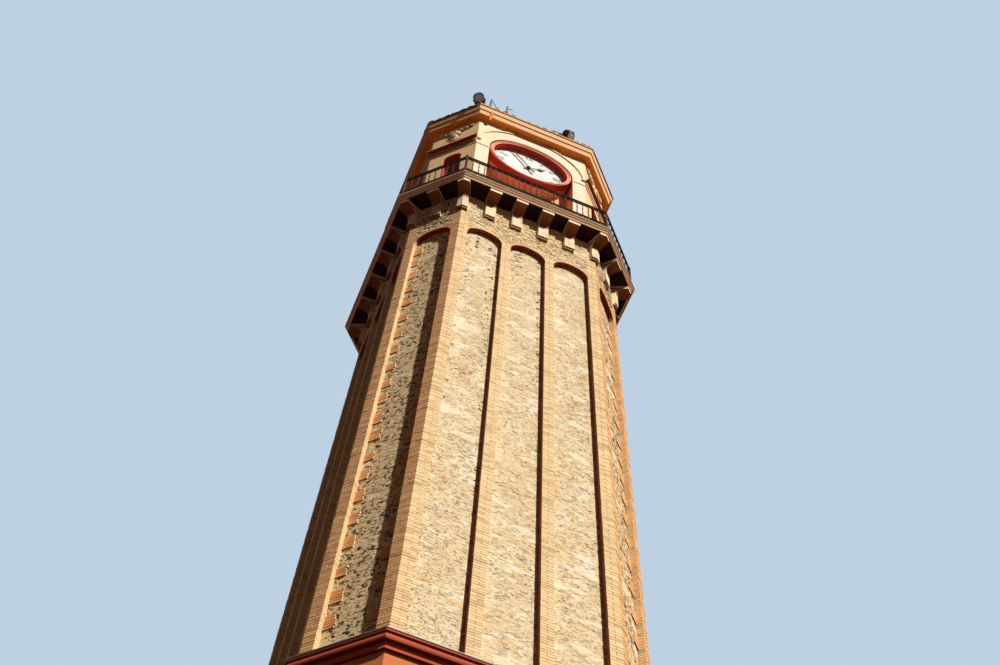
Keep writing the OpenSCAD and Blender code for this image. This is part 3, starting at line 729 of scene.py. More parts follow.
def laying_tree():
    """A node group that lays a stamp on every point, turned and sized by the point's own values, and shaded
    at random.
    """
    tree = bpy.data.node_groups.new("laid_pieces", "GeometryNodeTree")
    kinds = {
        "Geometry": "Geometry", "Stamp": "Object", "Unevenness": "Float", "Grain": "Float", "Seed": "Int",
        "Finish": "Material"}
    for name, kind in kinds.items():
        tree.interface.new_socket(name, in_out="INPUT", socket_type="NodeSocket" + kind)
    tree.interface.new_socket("Geometry", in_out="OUTPUT", socket_type="NodeSocketGeometry")
    g = Nodes(tree)
    entry = g.node("NodeGroupInput", {}, {}).socket.node
    given = {name: Wire(g, entry.outputs[name]) for name in kinds}
    turn, size = (
        g.node("GeometryNodeInputNamedAttribute", {"data_type": "FLOAT_VECTOR"}, {"Name": name})
        for name in ("turn", "size"))
    stamp = g.node("GeometryNodeObjectInfo", {}, {"Object": given["Stamp"]}, "Geometry")
    turned = g.node("FunctionNodeEulerToRotation", {}, {0: turn})
    laid = g.node("GeometryNodeInstanceOnPoints", {}, {
        "Points": given["Geometry"], "Instance": stamp, "Rotation": turned, "Scale": size})
    chance = g.node("FunctionNodeRandomValue", {"data_type": "FLOAT"}, {"Seed": given["Seed"]}, 1)
    shaded = g.node("GeometryNodeStoreNamedAttribute", {"data_type": "FLOAT", "domain": "INSTANCE"}, {
        "Name": "shade", "Geometry": laid, "Value": chance})
    real = g.node("GeometryNodeRealizeInstances", {}, {0: shaded})
    # Every piece's corners shift a little, so that its edges aren't ruled
    waver = g.node("ShaderNodeTexNoise", {}, {"Scale": given["Grain"]}, "Color")
    centred = g.node("ShaderNodeVectorMath", {"operation": "SUBTRACT"}, {0: waver, 1: (0.5, 0.5, 0.5)})
    values = {0: centred, "Scale": given["Unevenness"]}
    offset = g.node("ShaderNodeVectorMath", {"operation": "SCALE"}, values)
    shifted = g.node("GeometryNodeSetPosition", {}, {"Geometry": real, "Offset": offset})
    painted = g.node("GeometryNodeSetMaterial", {}, {"Geometry": shifted, "Material": given["Finish"]})
    g.node("NodeGroupOutput", {}, {0: painted})
    return tree


def lay_pieces(name, slot, places, stamp, material, seed, uneven=0.0):
    """Keeps a plain mesh with the stamp at every (location, euler, size)."""
    tree = bpy.data.node_groups.get("laid_pieces") or laying_tree()
    mesh = bpy.data.meshes.new(name + "_points")
    mesh.from_pydata([p[0] for p in places], [], [])
    for key, column in (("turn", 1), ("size", 2)):
        layer = mesh.attributes.new(key, "FLOAT_VECTOR", "POINT")
        layer.data.foreach_set("vector", [v for p in places for v in p[column]])
    points = as_object(name + "_points", mesh)
    bpy.context.scene.collection.objects.link(stamp)
    grow = points.modifiers.new("lay", "NODES")
    grow.node_group = tree
    values = {"Stamp": stamp, "Unevenness": uneven, "Grain": EDGE_GRAIN, "Seed": seed, "Finish": material}
    for item in tree.interface.items_tree:
        if item.in_out == "INPUT" and item.name in values:
            grow[item.identifier] = values[item.name]
    laid = bpy.data.meshes.new_from_object(points.evaluated_get(bpy.context.evaluated_depsgraph_get()))
    points.modifiers.remove(grow)
    bpy.data.objects.remove(points)
    bpy.data.objects.remove(stamp)
    laid.name = name
    for key in ("turn", "size"):
        layer = laid.attributes.get(key)
        if layer:
            laid.attributes.remove(layer)
    keep(as_object(name, laid), slot)


# Settings


def colour_setting(name, description, default):
    return bpy.props.FloatVectorProperty(
        name=name, description=description, default=default, size=3, min=0, max=1, subtype="COLOR_GAMMA")


def length_setting(name, description, default):
    return bpy.props.FloatProperty(name=name, description=description, default=default, unit="LENGTH")


class TowerMasonry(bpy.types.PropertyGroup):
    course: length_setting("Course", "Height of a brick course with its joint", 0.058)
    joint: length_setting("Joint", "Height of the joint in a course", 0.010)
    stone: length_setting("Stone size", "Largest radius of a common rubble stone", 0.105)
    stone_seed: bpy.props.IntProperty(
        name="Stone seed", description="Seed of the rubble's layout", default=11)
    brick: colour_setting("Brick", "Colour of the pier bricks", (0.98, 0.86, 0.67))
    dark_brick: colour_setting("Dark brick", "Colour of the arch bricks and the toothing", (0.97, 0.82, 0.61))
    corbel: colour_setting("Corbels", "Colour of the corbels' stone", (0.96, 0.88, 0.73))


class TowerTop(bpy.types.PropertyGroup):
    cream: colour_setting("Cream paint", "Colour of the clock room's walls", (0.99, 0.93, 0.81))
    # The soffit colour is its paint, brightened with painted bounce light
    soffit: colour_setting("Soffit paint", "Colour of the cornice's underside", (1.0, 0.60, 0.24))
    rim: colour_setting("Rim paint", "Colour of the clock drums' rims", (0.97, 0.60, 0.40))
    # The barrels' deep red is their paint darkened with painted shade
    barrel: colour_setting("Barrel paint", "Colour of the clock drums' barrels", (0.74, 0.16, 0.12))
    dentil: length_setting("Dentil pitch", "Distance between the balcony's dentils", 0.030)
    numeral: length_setting("Numeral height", "Height of the dials' numerals", 0.170)
    tile: length_setting("Tile pitch", "Distance between rows of roof tiles across the slope", 0.190)


class TowerBase(bpy.types.PropertyGroup):
    wall: colour_setting("Base wall", "Colour of the base storey's stucco", (0.89, 0.53, 0.33))
    cornice: colour_setting("Base cornice", "Colour of the base storey's cornice", (0.78, 0.37, 0.25))
    board: length_setting("Door board", "Width of a board of the ground door", 0.11)


# Brickwork


# How unevenly the edges of hand-made bricks run
UNEVEN = 0.004


def course_heights(pitch):
    """The middle of each course from the base to the balcony."""
    count = int((BALCONY_Z - BASE_H - 0.01) / pitch)
    return [BASE_H + (BALCONY_Z - BASE_H) * (k + 0.5) / count for k in range(count)]


def bent_plan(leg, far_leg, depth, out):
    """Plan of a brick bent round a corner, about that corner."""
    along, outward = (side_vector.to_2d() for side_vector in (SIDES[1].along, SIDES[1].out))
    corner = Vector((T_HALF, -1.0))
    start = Vector((-leg, 0.0))
    points = [
        start + Vector((0, -out)), corner * out, along * far_leg + outward * out,
        along * far_leg - outward * depth, corner * -depth, start + Vector((0, depth)),
    ]
    return [tuple(p) for p in points]


class TOWER_OT_brickwork(bpy.types.Operator):
    """Lays the bricks of the corner piers, the piers between panels, the arches and the toothing"""

    bl_idname = "tower.brickwork"
    bl_label = "Brickwork"

    # How far bricks stand out of the frame's face and of its reveals, and the joint between their ends
    proud = 0.008
    sideways = 0.003
    gap = 0.008

    def execute(self, context):
        look = context.scene.tower_masonry
        # The second colours of both brick finishes are painted shade for the narrow faces
        self.brick = brick_finish(
            "pier_brick", look.brick, narrow_shade=((0.90, 0.58, 0.32), (1.0, 0.74, 0.44)), painted_shade_under=False)
        self.dark = brick_finish(
            "arch_brick", look.dark_brick, narrow_shade=((0.88, 0.55, 0.30), (0.97, 0.70, 0.42)), painted_shade_under=True)
        self.heights = course_heights(look.course)
        self.tall = (BALCONY_Z - BASE_H) / len(self.heights) - look.joint
        self.mid = SHAFT_TOP + LEAN * (BALCONY_Z - BASE_H) / 2
        self.back = PANEL_DEPTH + 0.004
        self.chance = random.Random(3)
        self.piers()
        self.toothing()
        self.arches(look.course)
        return {"FINISHED"}

    def swell(self, z):
        """How much larger the plan is at a height than halfway up."""
        return shaft_reach(z) / self.mid

    def straight(self, places, side, along, width, z):
        """Adds a brick on a side's face."""
        out = self.proud + self.chance.uniform(-0.002, 0.002)
        spot = side.shaft(along, (out - self.back) / 2, z)
        places.append((spot, (0, 0, side.turn), (width, self.back + out, self.tall)))

    def piers(self):
        narrow_pier = side_half(1, self.mid, WIDE * self.mid) * (1 - NARROW_SHARE) + self.sideways
        wide_pier = self.mid * WIDE * PIER_SHARE + self.sideways
        # Bricks bent round each corner run the full pier on one side and half of it on the other
        for parity in (0, 1):
            legs = (wide_pier, narrow_pier) if parity == 0 else (narrow_pier, wide_pier)
            for bond in (0, 1):
                short = (legs[0], legs[1] * 0.5) if bond == 0 else (legs[0] * 0.5, legs[1])
                places = []
                for side in SIDES[parity::2]:
                    for z in self.heights[bond::2]:
                        s, out = self.swell(z), self.chance.uniform(-0.003, 0.003)
                        spot = side.at(
                            side.shaft_dist(z) + out, side.shaft_half(z) + out * T_HALF, z - self.tall / 2)
                        places.append((spot, (0, 0, side.turn), (s, s, self.tall)))
                stamp = prism_stamp("bent", bent_plan(*short, self.back, self.proud))
                seed = 5 + 2 * parity + bond
                lay_pieces(f"corner_bricks_{parity}{bond}", "brick", places, stamp, self.brick, seed, UNEVEN)
        # A closer beside each short leg, and the piers between panels
        places = []
        for side in SIDES:
            leg = wide_pier if side.wide else narrow_pier
            for k, z in enumerate(self.heights):
                end = 1 if k % 2 else -1
                width = (leg * 0.5 - self.gap) * self.swell(z)
                inner = side.shaft_half(z) - leg * self.swell(z)
                self.straight(places, side, end * (inner + width / 2), width, z)
                if side.wide and z < SPRING_Z + 0.2:
                    panels = side.panels(z)
                    for left, right in zip(panels, panels[1:]):
                        a = left[0] + left[1] / 2 - self.sideways
                        b = right[0] - right[1] / 2 + self.sideways
                        if k % 2:
                            self.straight(places, side, (a + b) / 2, b - a, z)
                        else:
                            w = (b - a - self.gap) / 2
                            self.straight(places, side, a + w / 2, w, z)
                            self.straight(places, side, b - w / 2, w, z)
        lay_pieces("pier_bricks", "brick", places, box_stamp("brick"), self.brick, 31, UNEVEN)

    def toothing(self):
        """Groups of courses that key into the rubble at a panel's edges.

        They show on the narrow faces only, but the wide faces take part in the draws all the same.
        """
        places = []
        chance = self.chance
        for side in SIDES:
            share = 0.0 if side.wide else 1.0
            for p in range(len(side.panels(BASE_H))):
                for end in (-1, 1):
                    k = chance.randint(0, 5)
                    while k < len(self.heights) - 8 and self.heights[k] < SPRING_Z - 0.3:
                        reach = chance.uniform(0.13, 0.19)
                        rows = chance.choice((4, 5, 5))
                        laid = chance.random() < share
                        for z in self.heights[k:k + rows]:
                            centre, width = side.panels(z)[p]
                            w = reach + chance.uniform(-0.014, 0.014)
                            spot = side.shaft(centre + end * (width / 2 - w / 2), 0.006 - PANEL_DEPTH, z)
                            size = (w, 0.022 + chance.uniform(0, 0.006), self.tall)
                            if laid:
                                places.append((spot, (0, 0, side.turn), size))
                        k += chance.randint(9, 11)
        lay_pieces("toothing_bricks", "brick", places, box_stamp("tooth"), self.dark, 47, UNEVEN)

    def arches(self, course):
        """A ring of bricks on end round the head of each panel."""
        places = []
        ring = 0.12
        for side in SIDES:
            for centre, width in side.panels(SPRING_Z):
                r = width / 2 - self.sideways
                n = int(math.pi * (r + 0.02) / course)
                for k in range(n):
                    angle = math.pi * (k + 0.5) / n
                    depth = ring
                    # Between two arches the bricks end at the middle of the pier
                    if side.wide:
                        depth = min(ring, (r + PANEL_PIER / 2 - 0.004) / max(abs(math.cos(angle)), 0.01) - r)
                    mid_r = r + depth / 2
                    height = SPRING_Z + mid_r * math.sin(angle)
                    spot = side.shaft(centre + mid_r * math.cos(angle), (self.proud - self.back) / 2, height)
                    tilt = Matrix.Rotation(side.turn, 3, "Z") @ Matrix.Rotation(-angle, 3, "Y")
                    size = (depth, self.back + self.proud + 0.002, self.tall * 1.08)
                    places.append((spot, tuple(tilt.to_euler()), size))
        lay_pieces("arch_bricks", "brick", places, box_stamp("voussoir"), self.dark, 53, 0.003)


# Rubble


# Distance between the points of the bed under the stones
BED_STEP = 0.046


def clip_polygon(polygon, point, normal):
    """The part of a convex polygon on the far side of a line from its normal."""
    kept = []
    for k, a in enumerate(polygon):
        b = polygon[(k + 1) % len(polygon)]
        da = (a[0] - point[0]) * normal[0] + (a[1] - point[1]) * normal[1]
        db = (b[0] - point[0]) * normal[0] + (b[1] - point[1]) * normal[1]
        if da <= 0:
            kept.append(a)
        if (da < 0 < db) or (db < 0 < da):
            t = da / (da - db)
            kept.append((a[0] + (b[0] - a[0]) * t, a[1] + (b[1] - a[1]) * t))
    return kept


def near_stones(grid, step, flat, x, y):
    """The stones in a point's cell of the grid and in the eight round it, and that cell."""
    cell = int(x // step), int(y / flat // step)
    return [s for a in (-1, 0, 1) for b in (-1, 0, 1) for s in grid.get((cell[0] + a, cell[1] + b), ())], cell


def scatter(inside, low, high, large, flat, chance):
    """Stone centres with a radius each: a few big ones, many common ones, then chips between them."""
    step = 2 * large
    grid = {}
    stones = []
    area = (high[0] - low[0]) * (high[1] - low[1])
    sizes = (
        (area * 0.5, (1.3 * large, 2.0 * large)),
        (area / (large * large) * 3, (0.6 * large, large)),
        (area / (large * large) * 6, (0.34 * large, 0.55 * large)),
    )
    for tries, radii in sizes:
        for _ in range(int(tries)):
            x, y = chance.uniform(low[0], high[0]), chance.uniform(low[1], high[1])
            if not inside(x, y):
                continue
            r = chance.uniform(*radii)
            near, cell = near_stones(grid, step, flat, x, y)
            if all((x - s[0]) ** 2 + ((y - s[1]) / flat) ** 2 > (0.8 * (r + s[2])) ** 2 for s in near):
                stones.append((x, y, r))
                grid.setdefault(cell, []).append((x, y, r))
    return stones, grid, step


def stone_cells(inside, low, high, large, chance, flat=0.62):
    """The outlines of close-laid stones: power cells of scattered centres."""
    stones, grid, step = scatter(inside, low, high, large, flat, chance)
    cells = []
    for x, y, r in stones:
        reach = 1.5 * r + 0.03
        cell = [(x - reach, y - reach * flat), (x + reach, y - reach * flat),
                (x + reach, y + reach * flat), (x - reach, y + reach * flat)]
        near = near_stones(grid, step, flat, x, y)[0]
        near.sort(key=lambda s: (s[0] - x) ** 2 + ((s[1] - y) / flat) ** 2)
        for u, v, q in near[1:26]:
            dx, dy = u - x, (v - y) / flat
            t = 0.5 + (r * r - q * q) / (2 * (dx * dx + dy * dy))
            t = min(max(t, 0.2), 0.8)
            cell = clip_polygon(cell, (x + dx * t, y + dy * t * flat), (dx, dy / flat))
            if len(cell) < 3:
                break
        if len(cell) >= 3:
            cells.append((x, y, cell))
    return cells


def add_stone(shape, cell, x, y, lift, place, chance):
    """A low stone on a wall: its ragged outline drawn in by the joint, then up to its crown."""
    n = len(cell)
    thinnest = 0.016
    if min(math.hypot(px - x, py - y) for px, py in cell) < thinnest:
        return
    gap = chance.uniform(0.003, 0.007)
    lean_x, lean_y = chance.uniform(-0.018, 0.018), chance.uniform(-0.018, 0.018)
    ragged = [chance.uniform(0.0, 0.010) for _ in cell]
    rings = []
    for inset, rise in ((gap, -0.005), (gap + 0.017, lift)):
        ring = []
        for (px, py), rag in zip(cell, ragged):
            d = math.hypot(px - x, py - y)
            s = max(1 - (inset + rag) / d, 0.2)
            qx, qy = x + (px - x) * s, y + (py - y) * s
            up = rise + ((qx - x) * lean_x + (qy - y) * lean_y if rise > 0 else 0)
            ring.append(place(qx, qy, max(up, -0.006)))
        rings.append(ring)
    verts = rings[0] + rings[1] + [place(x, y, lift + chance.uniform(0.001, 0.003))]
    faces = [(k, (k + 1) % n, n + (k + 1) % n, n + k) for k in range(n)]
    faces += [(n + k, n + (k + 1) % n, 2 * n) for k in range(n)]
    faces.append(tuple(range(n - 1, -1, -1)))
    shape.add((verts, faces), tone=chance.random())


def bedding(shape, rows, place):
    """The uneven lime bed that the stones lie in: a thin sheet over rows of (left, right, z)."""
    front = []
    count = max(int((right - left) / BED_STEP) for left, right, z in rows)
    for left, right, z in rows:
        line = []
        for k in range(count + 1):
            u = left + (right - left) * k / count
            spot = Vector((u * 9, place.side.i * 7.3, z * 13))
            rise = 0.002 + 0.004 * noise.noise(spot) + 0.002 * noise.noise(spot * 2.7)
            line.append(place(u, z, max(rise, -0.004)))
        front.append(line)
    back = [place(x, z, -0.02) for left, right, z in (rows[0], rows[-1]) for x in (left, right)]
    verts = [p for line in front for p in line]
    w = count + 1
    faces = [(j * w + k, j * w + k + 1, (j + 1) * w + k + 1, (j + 1) * w + k)
             for j in range(len(rows) - 1) for k in range(count)]
    last = len(verts)
    verts += back
    top = (len(rows) - 1) * w
    faces += [
        tuple(range(count, -1, -1)) + (last, last + 1),
        tuple(range(top, top + w)) + (last + 3, last + 2),
        tuple(j * w for j in range(len(rows))) + (last + 2, last),
        tuple(j * w + count for j in range(len(rows) - 1, -1, -1)) + (last + 1, last + 3),
        (last, last + 2, last + 3, last + 1),
    ]
    shape.add((verts, faces))


class PanelPlace:
    """Panel p of a side: puts its points in space, kept within its outline, and says what it holds."""

    def __init__(self, side, p):
        self.side, self.p = side, p

    def __call__(self, u, z, up):
        side = self.side
        centre, width = side.panels(min(max(z, BASE_H), SPRING_Z))[self.p]
        r = width / 2 - 0.002
        z = max(z, BASE_H + 0.004)
        if z <= SPRING_Z:
            u = min(max(u, centre - r), centre + r)
        else:
            d = math.hypot(u - centre, z - SPRING_Z)
            if d > r:
                u, z = centre + (u - centre) * r / d, SPRING_Z + (z - SPRING_Z) * r / d
        return side.shaft(u, up - PANEL_DEPTH, z)

    def holds(self, u, z):
        if z < BASE_H + 0.02:
            return False
        centre, width = self.side.panels(min(z, SPRING_Z))[self.p]
        r = width / 2 - 0.02
        if z <= SPRING_Z:
            return abs(u - centre) < r
        return (u - centre) ** 2 + (z - SPRING_Z) ** 2 < r * r

    def rows(self):
        """Rows of (left, right, z) up the panel and into its round head."""
        rows = []
        z = BASE_H + 0.004
        while z < SPRING_Z:
            centre, width = self.side.panels(z)[self.p]
            rows.append((centre - width / 2 + 0.003, centre + width / 2 - 0.003, z))
            z += BED_STEP
        centre, width = self.side.panels(SPRING_Z)[self.p]
        r = width / 2 - 0.003
        for k in range(9):
            a = math.pi / 2 * k / 9
            rows.append((centre - r * math.cos(a), centre + r * math.cos(a), SPRING_Z + r * math.sin(a)))
        return rows


class TOWER_OT_rubble(bpy.types.Operator):
    """Sets the rubble stones and their bedding in the panels and over the arches"""

    bl_idname = "tower.rubble"
    bl_label = "Rubble"

    def execute(self, context):
        look = context.scene.tower_masonry
        stone = rubble_finish("rubble_stone", True, 0.25)
        bed = rubble_finish("rubble_bed", False, 0.8)
        chance = random.Random(look.stone_seed)
        for side in SIDES:
            stones, beds = Shape(), Shape()
            for p in range(len(side.panels(BASE_H))):
                place = PanelPlace(side, p)
                centre, width = side.panels(BASE_H)[p]
                low = (centre - width / 2, BASE_H)
                high = (centre + width / 2, SPRING_Z + width / 2)
                for x, y, cell in stone_cells(place.holds, low, high, look.stone, chance):
                    add_stone(stones, cell, x, y, chance.uniform(0.002, 0.0045), place, chance)
                bedding(beds, place.rows(), place)
            self.over_arches(side, stones, look.stone, chance)
            stones.keep(f"rubble_{side.i}", "rubble", stone)
            beds.keep(f"rubble_bed_{side.i}", "rubble", bed, smooth=True)
        dress(mortar_finish(), *[n for n in NODES if n.startswith("brick_frame")])
        dress(bed, "shaft_wide_cores", "shaft_corner_cores")
        return {"FINISHED"}

    def over_arches(self, side, shape, large, chance):
        """Adds the stones between the arches and the balcony, short of the corner bricks."""
        leg = PANEL_PIER if side.wide else side.shaft_half(BALCONY_Z) * (1 - NARROW_SHARE)
        edge = side.shaft_half(BALCONY_Z) - leg
        panels = side.panels(SPRING_Z)

        def over(u, z):
            if abs(u) > edge - 0.01 or z > BALCONY_Z - 0.02 or z < SPRING_Z + 0.15:
                return False
            return all((u - c) ** 2 + (z - SPRING_Z) ** 2 > (w / 2 + 0.145) ** 2 for c, w in panels)

        def place(u, z, up):
            return side.shaft(min(max(u, -edge), edge), up, min(z, BALCONY_Z - 0.004))

        for x, y, cell in stone_cells(over, (-edge, SPRING_Z), (edge, BALCONY_Z), large, chance):
            add_stone(shape, cell, x, y, chance.uniform(0.004, 0.012), place, chance)


# Corbels and balcony


class TOWER_OT_balcony(bpy.types.Operator):
    """Finishes the corbels and the slab, and sets the dentils and the railings' loops and scrolls"""

    bl_idname = "tower.balcony"
    bl_label = "Corbels, slab and railings"

    # Middle of the railing outside the shaft's top, and its levels above the slab
    rail_out = 0.344
    band_low, band_high = 0.895, 0.985
    scroll_low, scroll_high = 0.050, 0.300
    collar_heights = (0.42, 0.66)
    post = 0.036
    bay = 0.124
    # Width of the bay that the loops and scrolls are drawn for
    drawn_bay = 0.1238

    def execute(self, context):
        look = context.scene.tower_masonry
        top = context.scene.tower_top
        # The corbels' and caps' brown undersides are painted shade
        corbel = stone_finish("corbel_stone", look.corbel, 0.4, under=(0.56, 0.34, 0.20))
        dress(corbel, "corbels", "corner_corbels")
        cap = stone_finish("corbel_cap_stone", shade_of(look.corbel, 1.03), 0.15, under=(0.45, 0.28, 0.18))
        dress(cap, "corbel_caps")
        # Painted shade covers the slab's main underside, within its moulded edge
        painted_shade_under = (BALCONY_Z + 0.008, *(side.ring(SHAFT_TOP, SHAFT_TOP * WIDE, 0.338)[0] for side in SIDES[:2]))
        peach = paint_finish(
            "slab_paint", (1.0, 0.87, 0.72), (0.17, 0.08, 0.07), (0.70, 0.42, 0.28), 0.15, 0.15, low=painted_shade_under)
        dress(peach, "balcony_slab")
        # The string courses' dark red undersides are painted shade
        string = paint_finish(
            "string_paint", (0.97, 0.84, 0.64), (0.66, 0.26, 0.16), (0.62, 0.36, 0.24), 0.2, 0.2)
        dress(string, "string_courses")
        self.dentils(top.dentil, peach)
        # The rails' black undersides are painted shade
        iron = metal_paint_finish("rail_iron", (0.20, 0.14, 0.11), 0.45, 0.75, (0.05, 0.03, 0.03))
        dress(iron, *[n for n in NODES if n.startswith("railing")])
        self.ironwork(iron)
        return {"FINISHED"}

    def dentils(self, pitch, paint):
        """Small blocks in a row under the slab's edge and under the string courses' edge."""
        # The dentils' dark red undersides are painted shade
        string_paint = paint_finish("string_dentil_paint", (0.95, 0.74, 0.52), (0.62, 0.26, 0.16))
        rows = (
            ("slab_dentils", SIDES, (SHAFT_TOP, SHAFT_TOP * WIDE, 0.384), -0.001, 0.081,
             (pitch * 0.62, 0.009, 0.041), paint, 61),
            ("string_dentils", CORNER_SIDES, (ROOM_HALF, ROOM_SIDE, 0.030), 0.0, 3.625,
             (pitch * 0.5, 0.036, 0.130), string_paint, 67),
        )
        for name, sides, ring, out, height, size, finish, seed in rows:
            places = []
            for side in sides:
                dist, half = side.ring(*ring)
                run = 2 * (half - 0.01)
                n = int(run / pitch)
                for k in range(n):
                    spot = side.at(dist + out, (k - (n - 1) / 2) * run / n, BALCONY_Z + height)
                    places.append((spot, (0, 0, side.turn), size))
            lay_pieces(name, "peach_paint", places, box_stamp("dentil", 0.15), finish, seed)

    def ironwork(self, iron):
        """An oval loop in each bay under the top rail and a pair of scrolls over the foot rail."""
        loops, scrolls, collars = [], [], []
        for side in SIDES:
            dist, half = side.ring(SHAFT_TOP, SHAFT_TOP * WIDE, self.rail_out)
            span = 2 * half - self.post
            bays = round(span / self.bay)
            step = span / bays
            for k in range(bays):
                middle = -span / 2 + (k + 0.5) * step
                turn, size = (0, 0, side.turn), (step / self.drawn_bay, 1, 1)
                band_middle = SLAB_TOP + (self.band_low + self.band_high) / 2
                loops.append((side.at(dist, middle, band_middle), turn, size))
                scrolls.append((side.at(dist, middle, SLAB_TOP + self.scroll_low), turn, size))
                if k:
                    for z in self.collar_heights:
                        collars.append((side.at(dist, middle - step / 2, SLAB_TOP + z), turn, (1, 1, 1)))
        high = (self.band_high - self.band_low) / 2 + 0.002
        loop = stamp_of("loop", flat_wire(circle(0.050, 14, high), 0.007, 0.012, closed=True))
        lay_pieces("rail_loops", "iron", loops, loop, iron, 71)
        shape = Shape()
        for s in (-1, 1):
            shape.add(flat_wire(self.scroll_path(s), 0.013, 0.014))
        scroll = stamp_of("scroll", (shape.verts, shape.faces))
        lay_pieces("rail_scrolls", "iron", scrolls, scroll, iron, 73)
        profile = [(0.010, -0.012), (0.015, -0.006), (0.015, 0.006), (0.010, 0.012)]
        lay_pieces("rail_collars", "iron", collars, stamp_of("collar", capped_lathe(profile, 8)), iron, 79)
        # A knob on each post
        shape = Shape()
        profile = [(0.006, 0.0), (0.014, 0.004), (0.011, 0.012), (0.022, 0.022), (0.026, 0.034),
                   (0.020, 0.048), (0.008, 0.056)]
        for side in SIDES:
            dist, half = side.ring(SHAFT_TOP, SHAFT_TOP * WIDE, self.rail_out)
            shape.add(capped_lathe(profile, 12), moved(*side.at(dist, half, SLAB_TOP + 0.994)))
        shape.keep("rail_knobs", "iron", iron, smooth=True)

    def scroll_path(self, s):
        """Half of a bay's ornament: it rises from the foot rail's middle, arches out and curls in."""
        tall = self.scroll_high - self.scroll_low
        path = [(0.0, -0.002), (s * 0.006, tall * 0.25), (s * 0.004, tall * 0.5)]
        for k in range(13):
            a = math.radians(180 - 33 * k)
            r = 0.028 - 0.0012 * k
            path.append((s * (0.032 + r * math.cos(a)), tall * 0.70 + r * 1.5 * math.sin(a)))
        return path


# Clock room


NUMERALS = ("XII", "I", "II", "III", "IIII", "V", "VI", "VII", "VIII", "IX", "X", "XI")


def letter_strokes(letter):
    """Strokes (x0, z0, x1, z1, width) of a letter one unit tall, and the letter's width."""
    thick, thin = 0.17, 0.07
    if letter == "I":
        return [(0.15, 0.0, 0.15, 1.0, thick),
                (0.0, 0.03, 0.30, 0.03, thin), (0.0, 0.97, 0.30, 0.97, thin)], 0.30
    if letter == "V":
        return [(0.10, 1.0, 0.38, 0.0, thick), (0.62, 1.0, 0.40, 0.0, thin),
                (0.0, 0.97, 0.24, 0.97, thin), (0.50, 0.97, 0.74, 0.97, thin)], 0.74
    return [(0.10, 1.0, 0.60, 0.0, thick), (0.60, 1.0, 0.10, 0.0, thin),
            (0.0, 0.97, 0.24, 0.97, thin), (0.48, 0.97, 0.72, 0.97, thin),
            (0.0, 0.03, 0.24, 0.03, thin), (0.48, 0.03, 0.72, 0.03, thin)], 0.70


def stroke(x0, z0, x1, z1, w, y0, y1):
    """A straight stroke, w wide, between two depths."""
    d = Vector((x1 - x0, z1 - z0)).normalized() * w / 2
    outline = [(x0 - d.y, z0 + d.x), (x0 + d.y, z0 - d.x), (x1 + d.y, z1 - d.x), (x1 - d.y, z1 + d.x)]
    return slab(outline, y0, y1)


def leaf_solid(length, width, thick, curl=0.0, teeth=0):
    """A carved leaf along z from the origin: arched across, hollow at its rib, perhaps toothed."""
    across, along = 8, 11
    front, back = [], []
    for j in range(along + 1):
        t = j / along
        half = width / 2 * math.sin(math.pi * min(t * 0.93 + 0.07, 1.0)) ** 0.75
        if teeth:
            half *= 1 + 0.16 * math.cos(teeth * 2 * math.pi * t)
        bend = curl * math.sin(math.pi * t)
        lift = thick * (0.35 + 0.65 * math.sin(math.pi * min(t + 0.08, 1.0)))
        row, under = [], []
        for k in range(across + 1):
            u = 2 * k / across - 1
            rib = 0.30 * math.exp(-(u / 0.14) ** 2)
            h = lift * (1 - 0.72 * u * u - rib)
            row.append((u * half + bend, -h, t * length))
            under.append((u * half + bend, 0.004, t * length))
        front.append(row)
        back.append(under)
    w = across + 1
    verts = [p for row in front + back for p in row]
    off = len(verts) // 2
    faces = []
    for j in range(along):
        for k in range(across):
            a = j * w + k
            faces.append((a, a + 1, a + 1 + w, a + w))
            faces.append((off + a, off + a + w, off + a + 1 + w, off + a + 1))
        a, b = j * w, j * w + across
        faces.append((a, a + w, off + a + w, off + a))
        faces.append((b, off + b, off + b + w, b + w))
    for k in range(across):
        a, b = k, along * w + k
        faces.append((a, off + a, off + a + 1, a + 1))
        faces.append((b, b + 1, off + b + 1, off + b))
    return verts, faces


def in_plane(x, z, turn, depth=0.0):
    """Matrix that turns a piece of the XZ plane clockwise from upright and puts it at a point."""
    return moved(x, -depth, z) @ Matrix.Rotation(math.radians(turn), 4, "Y")


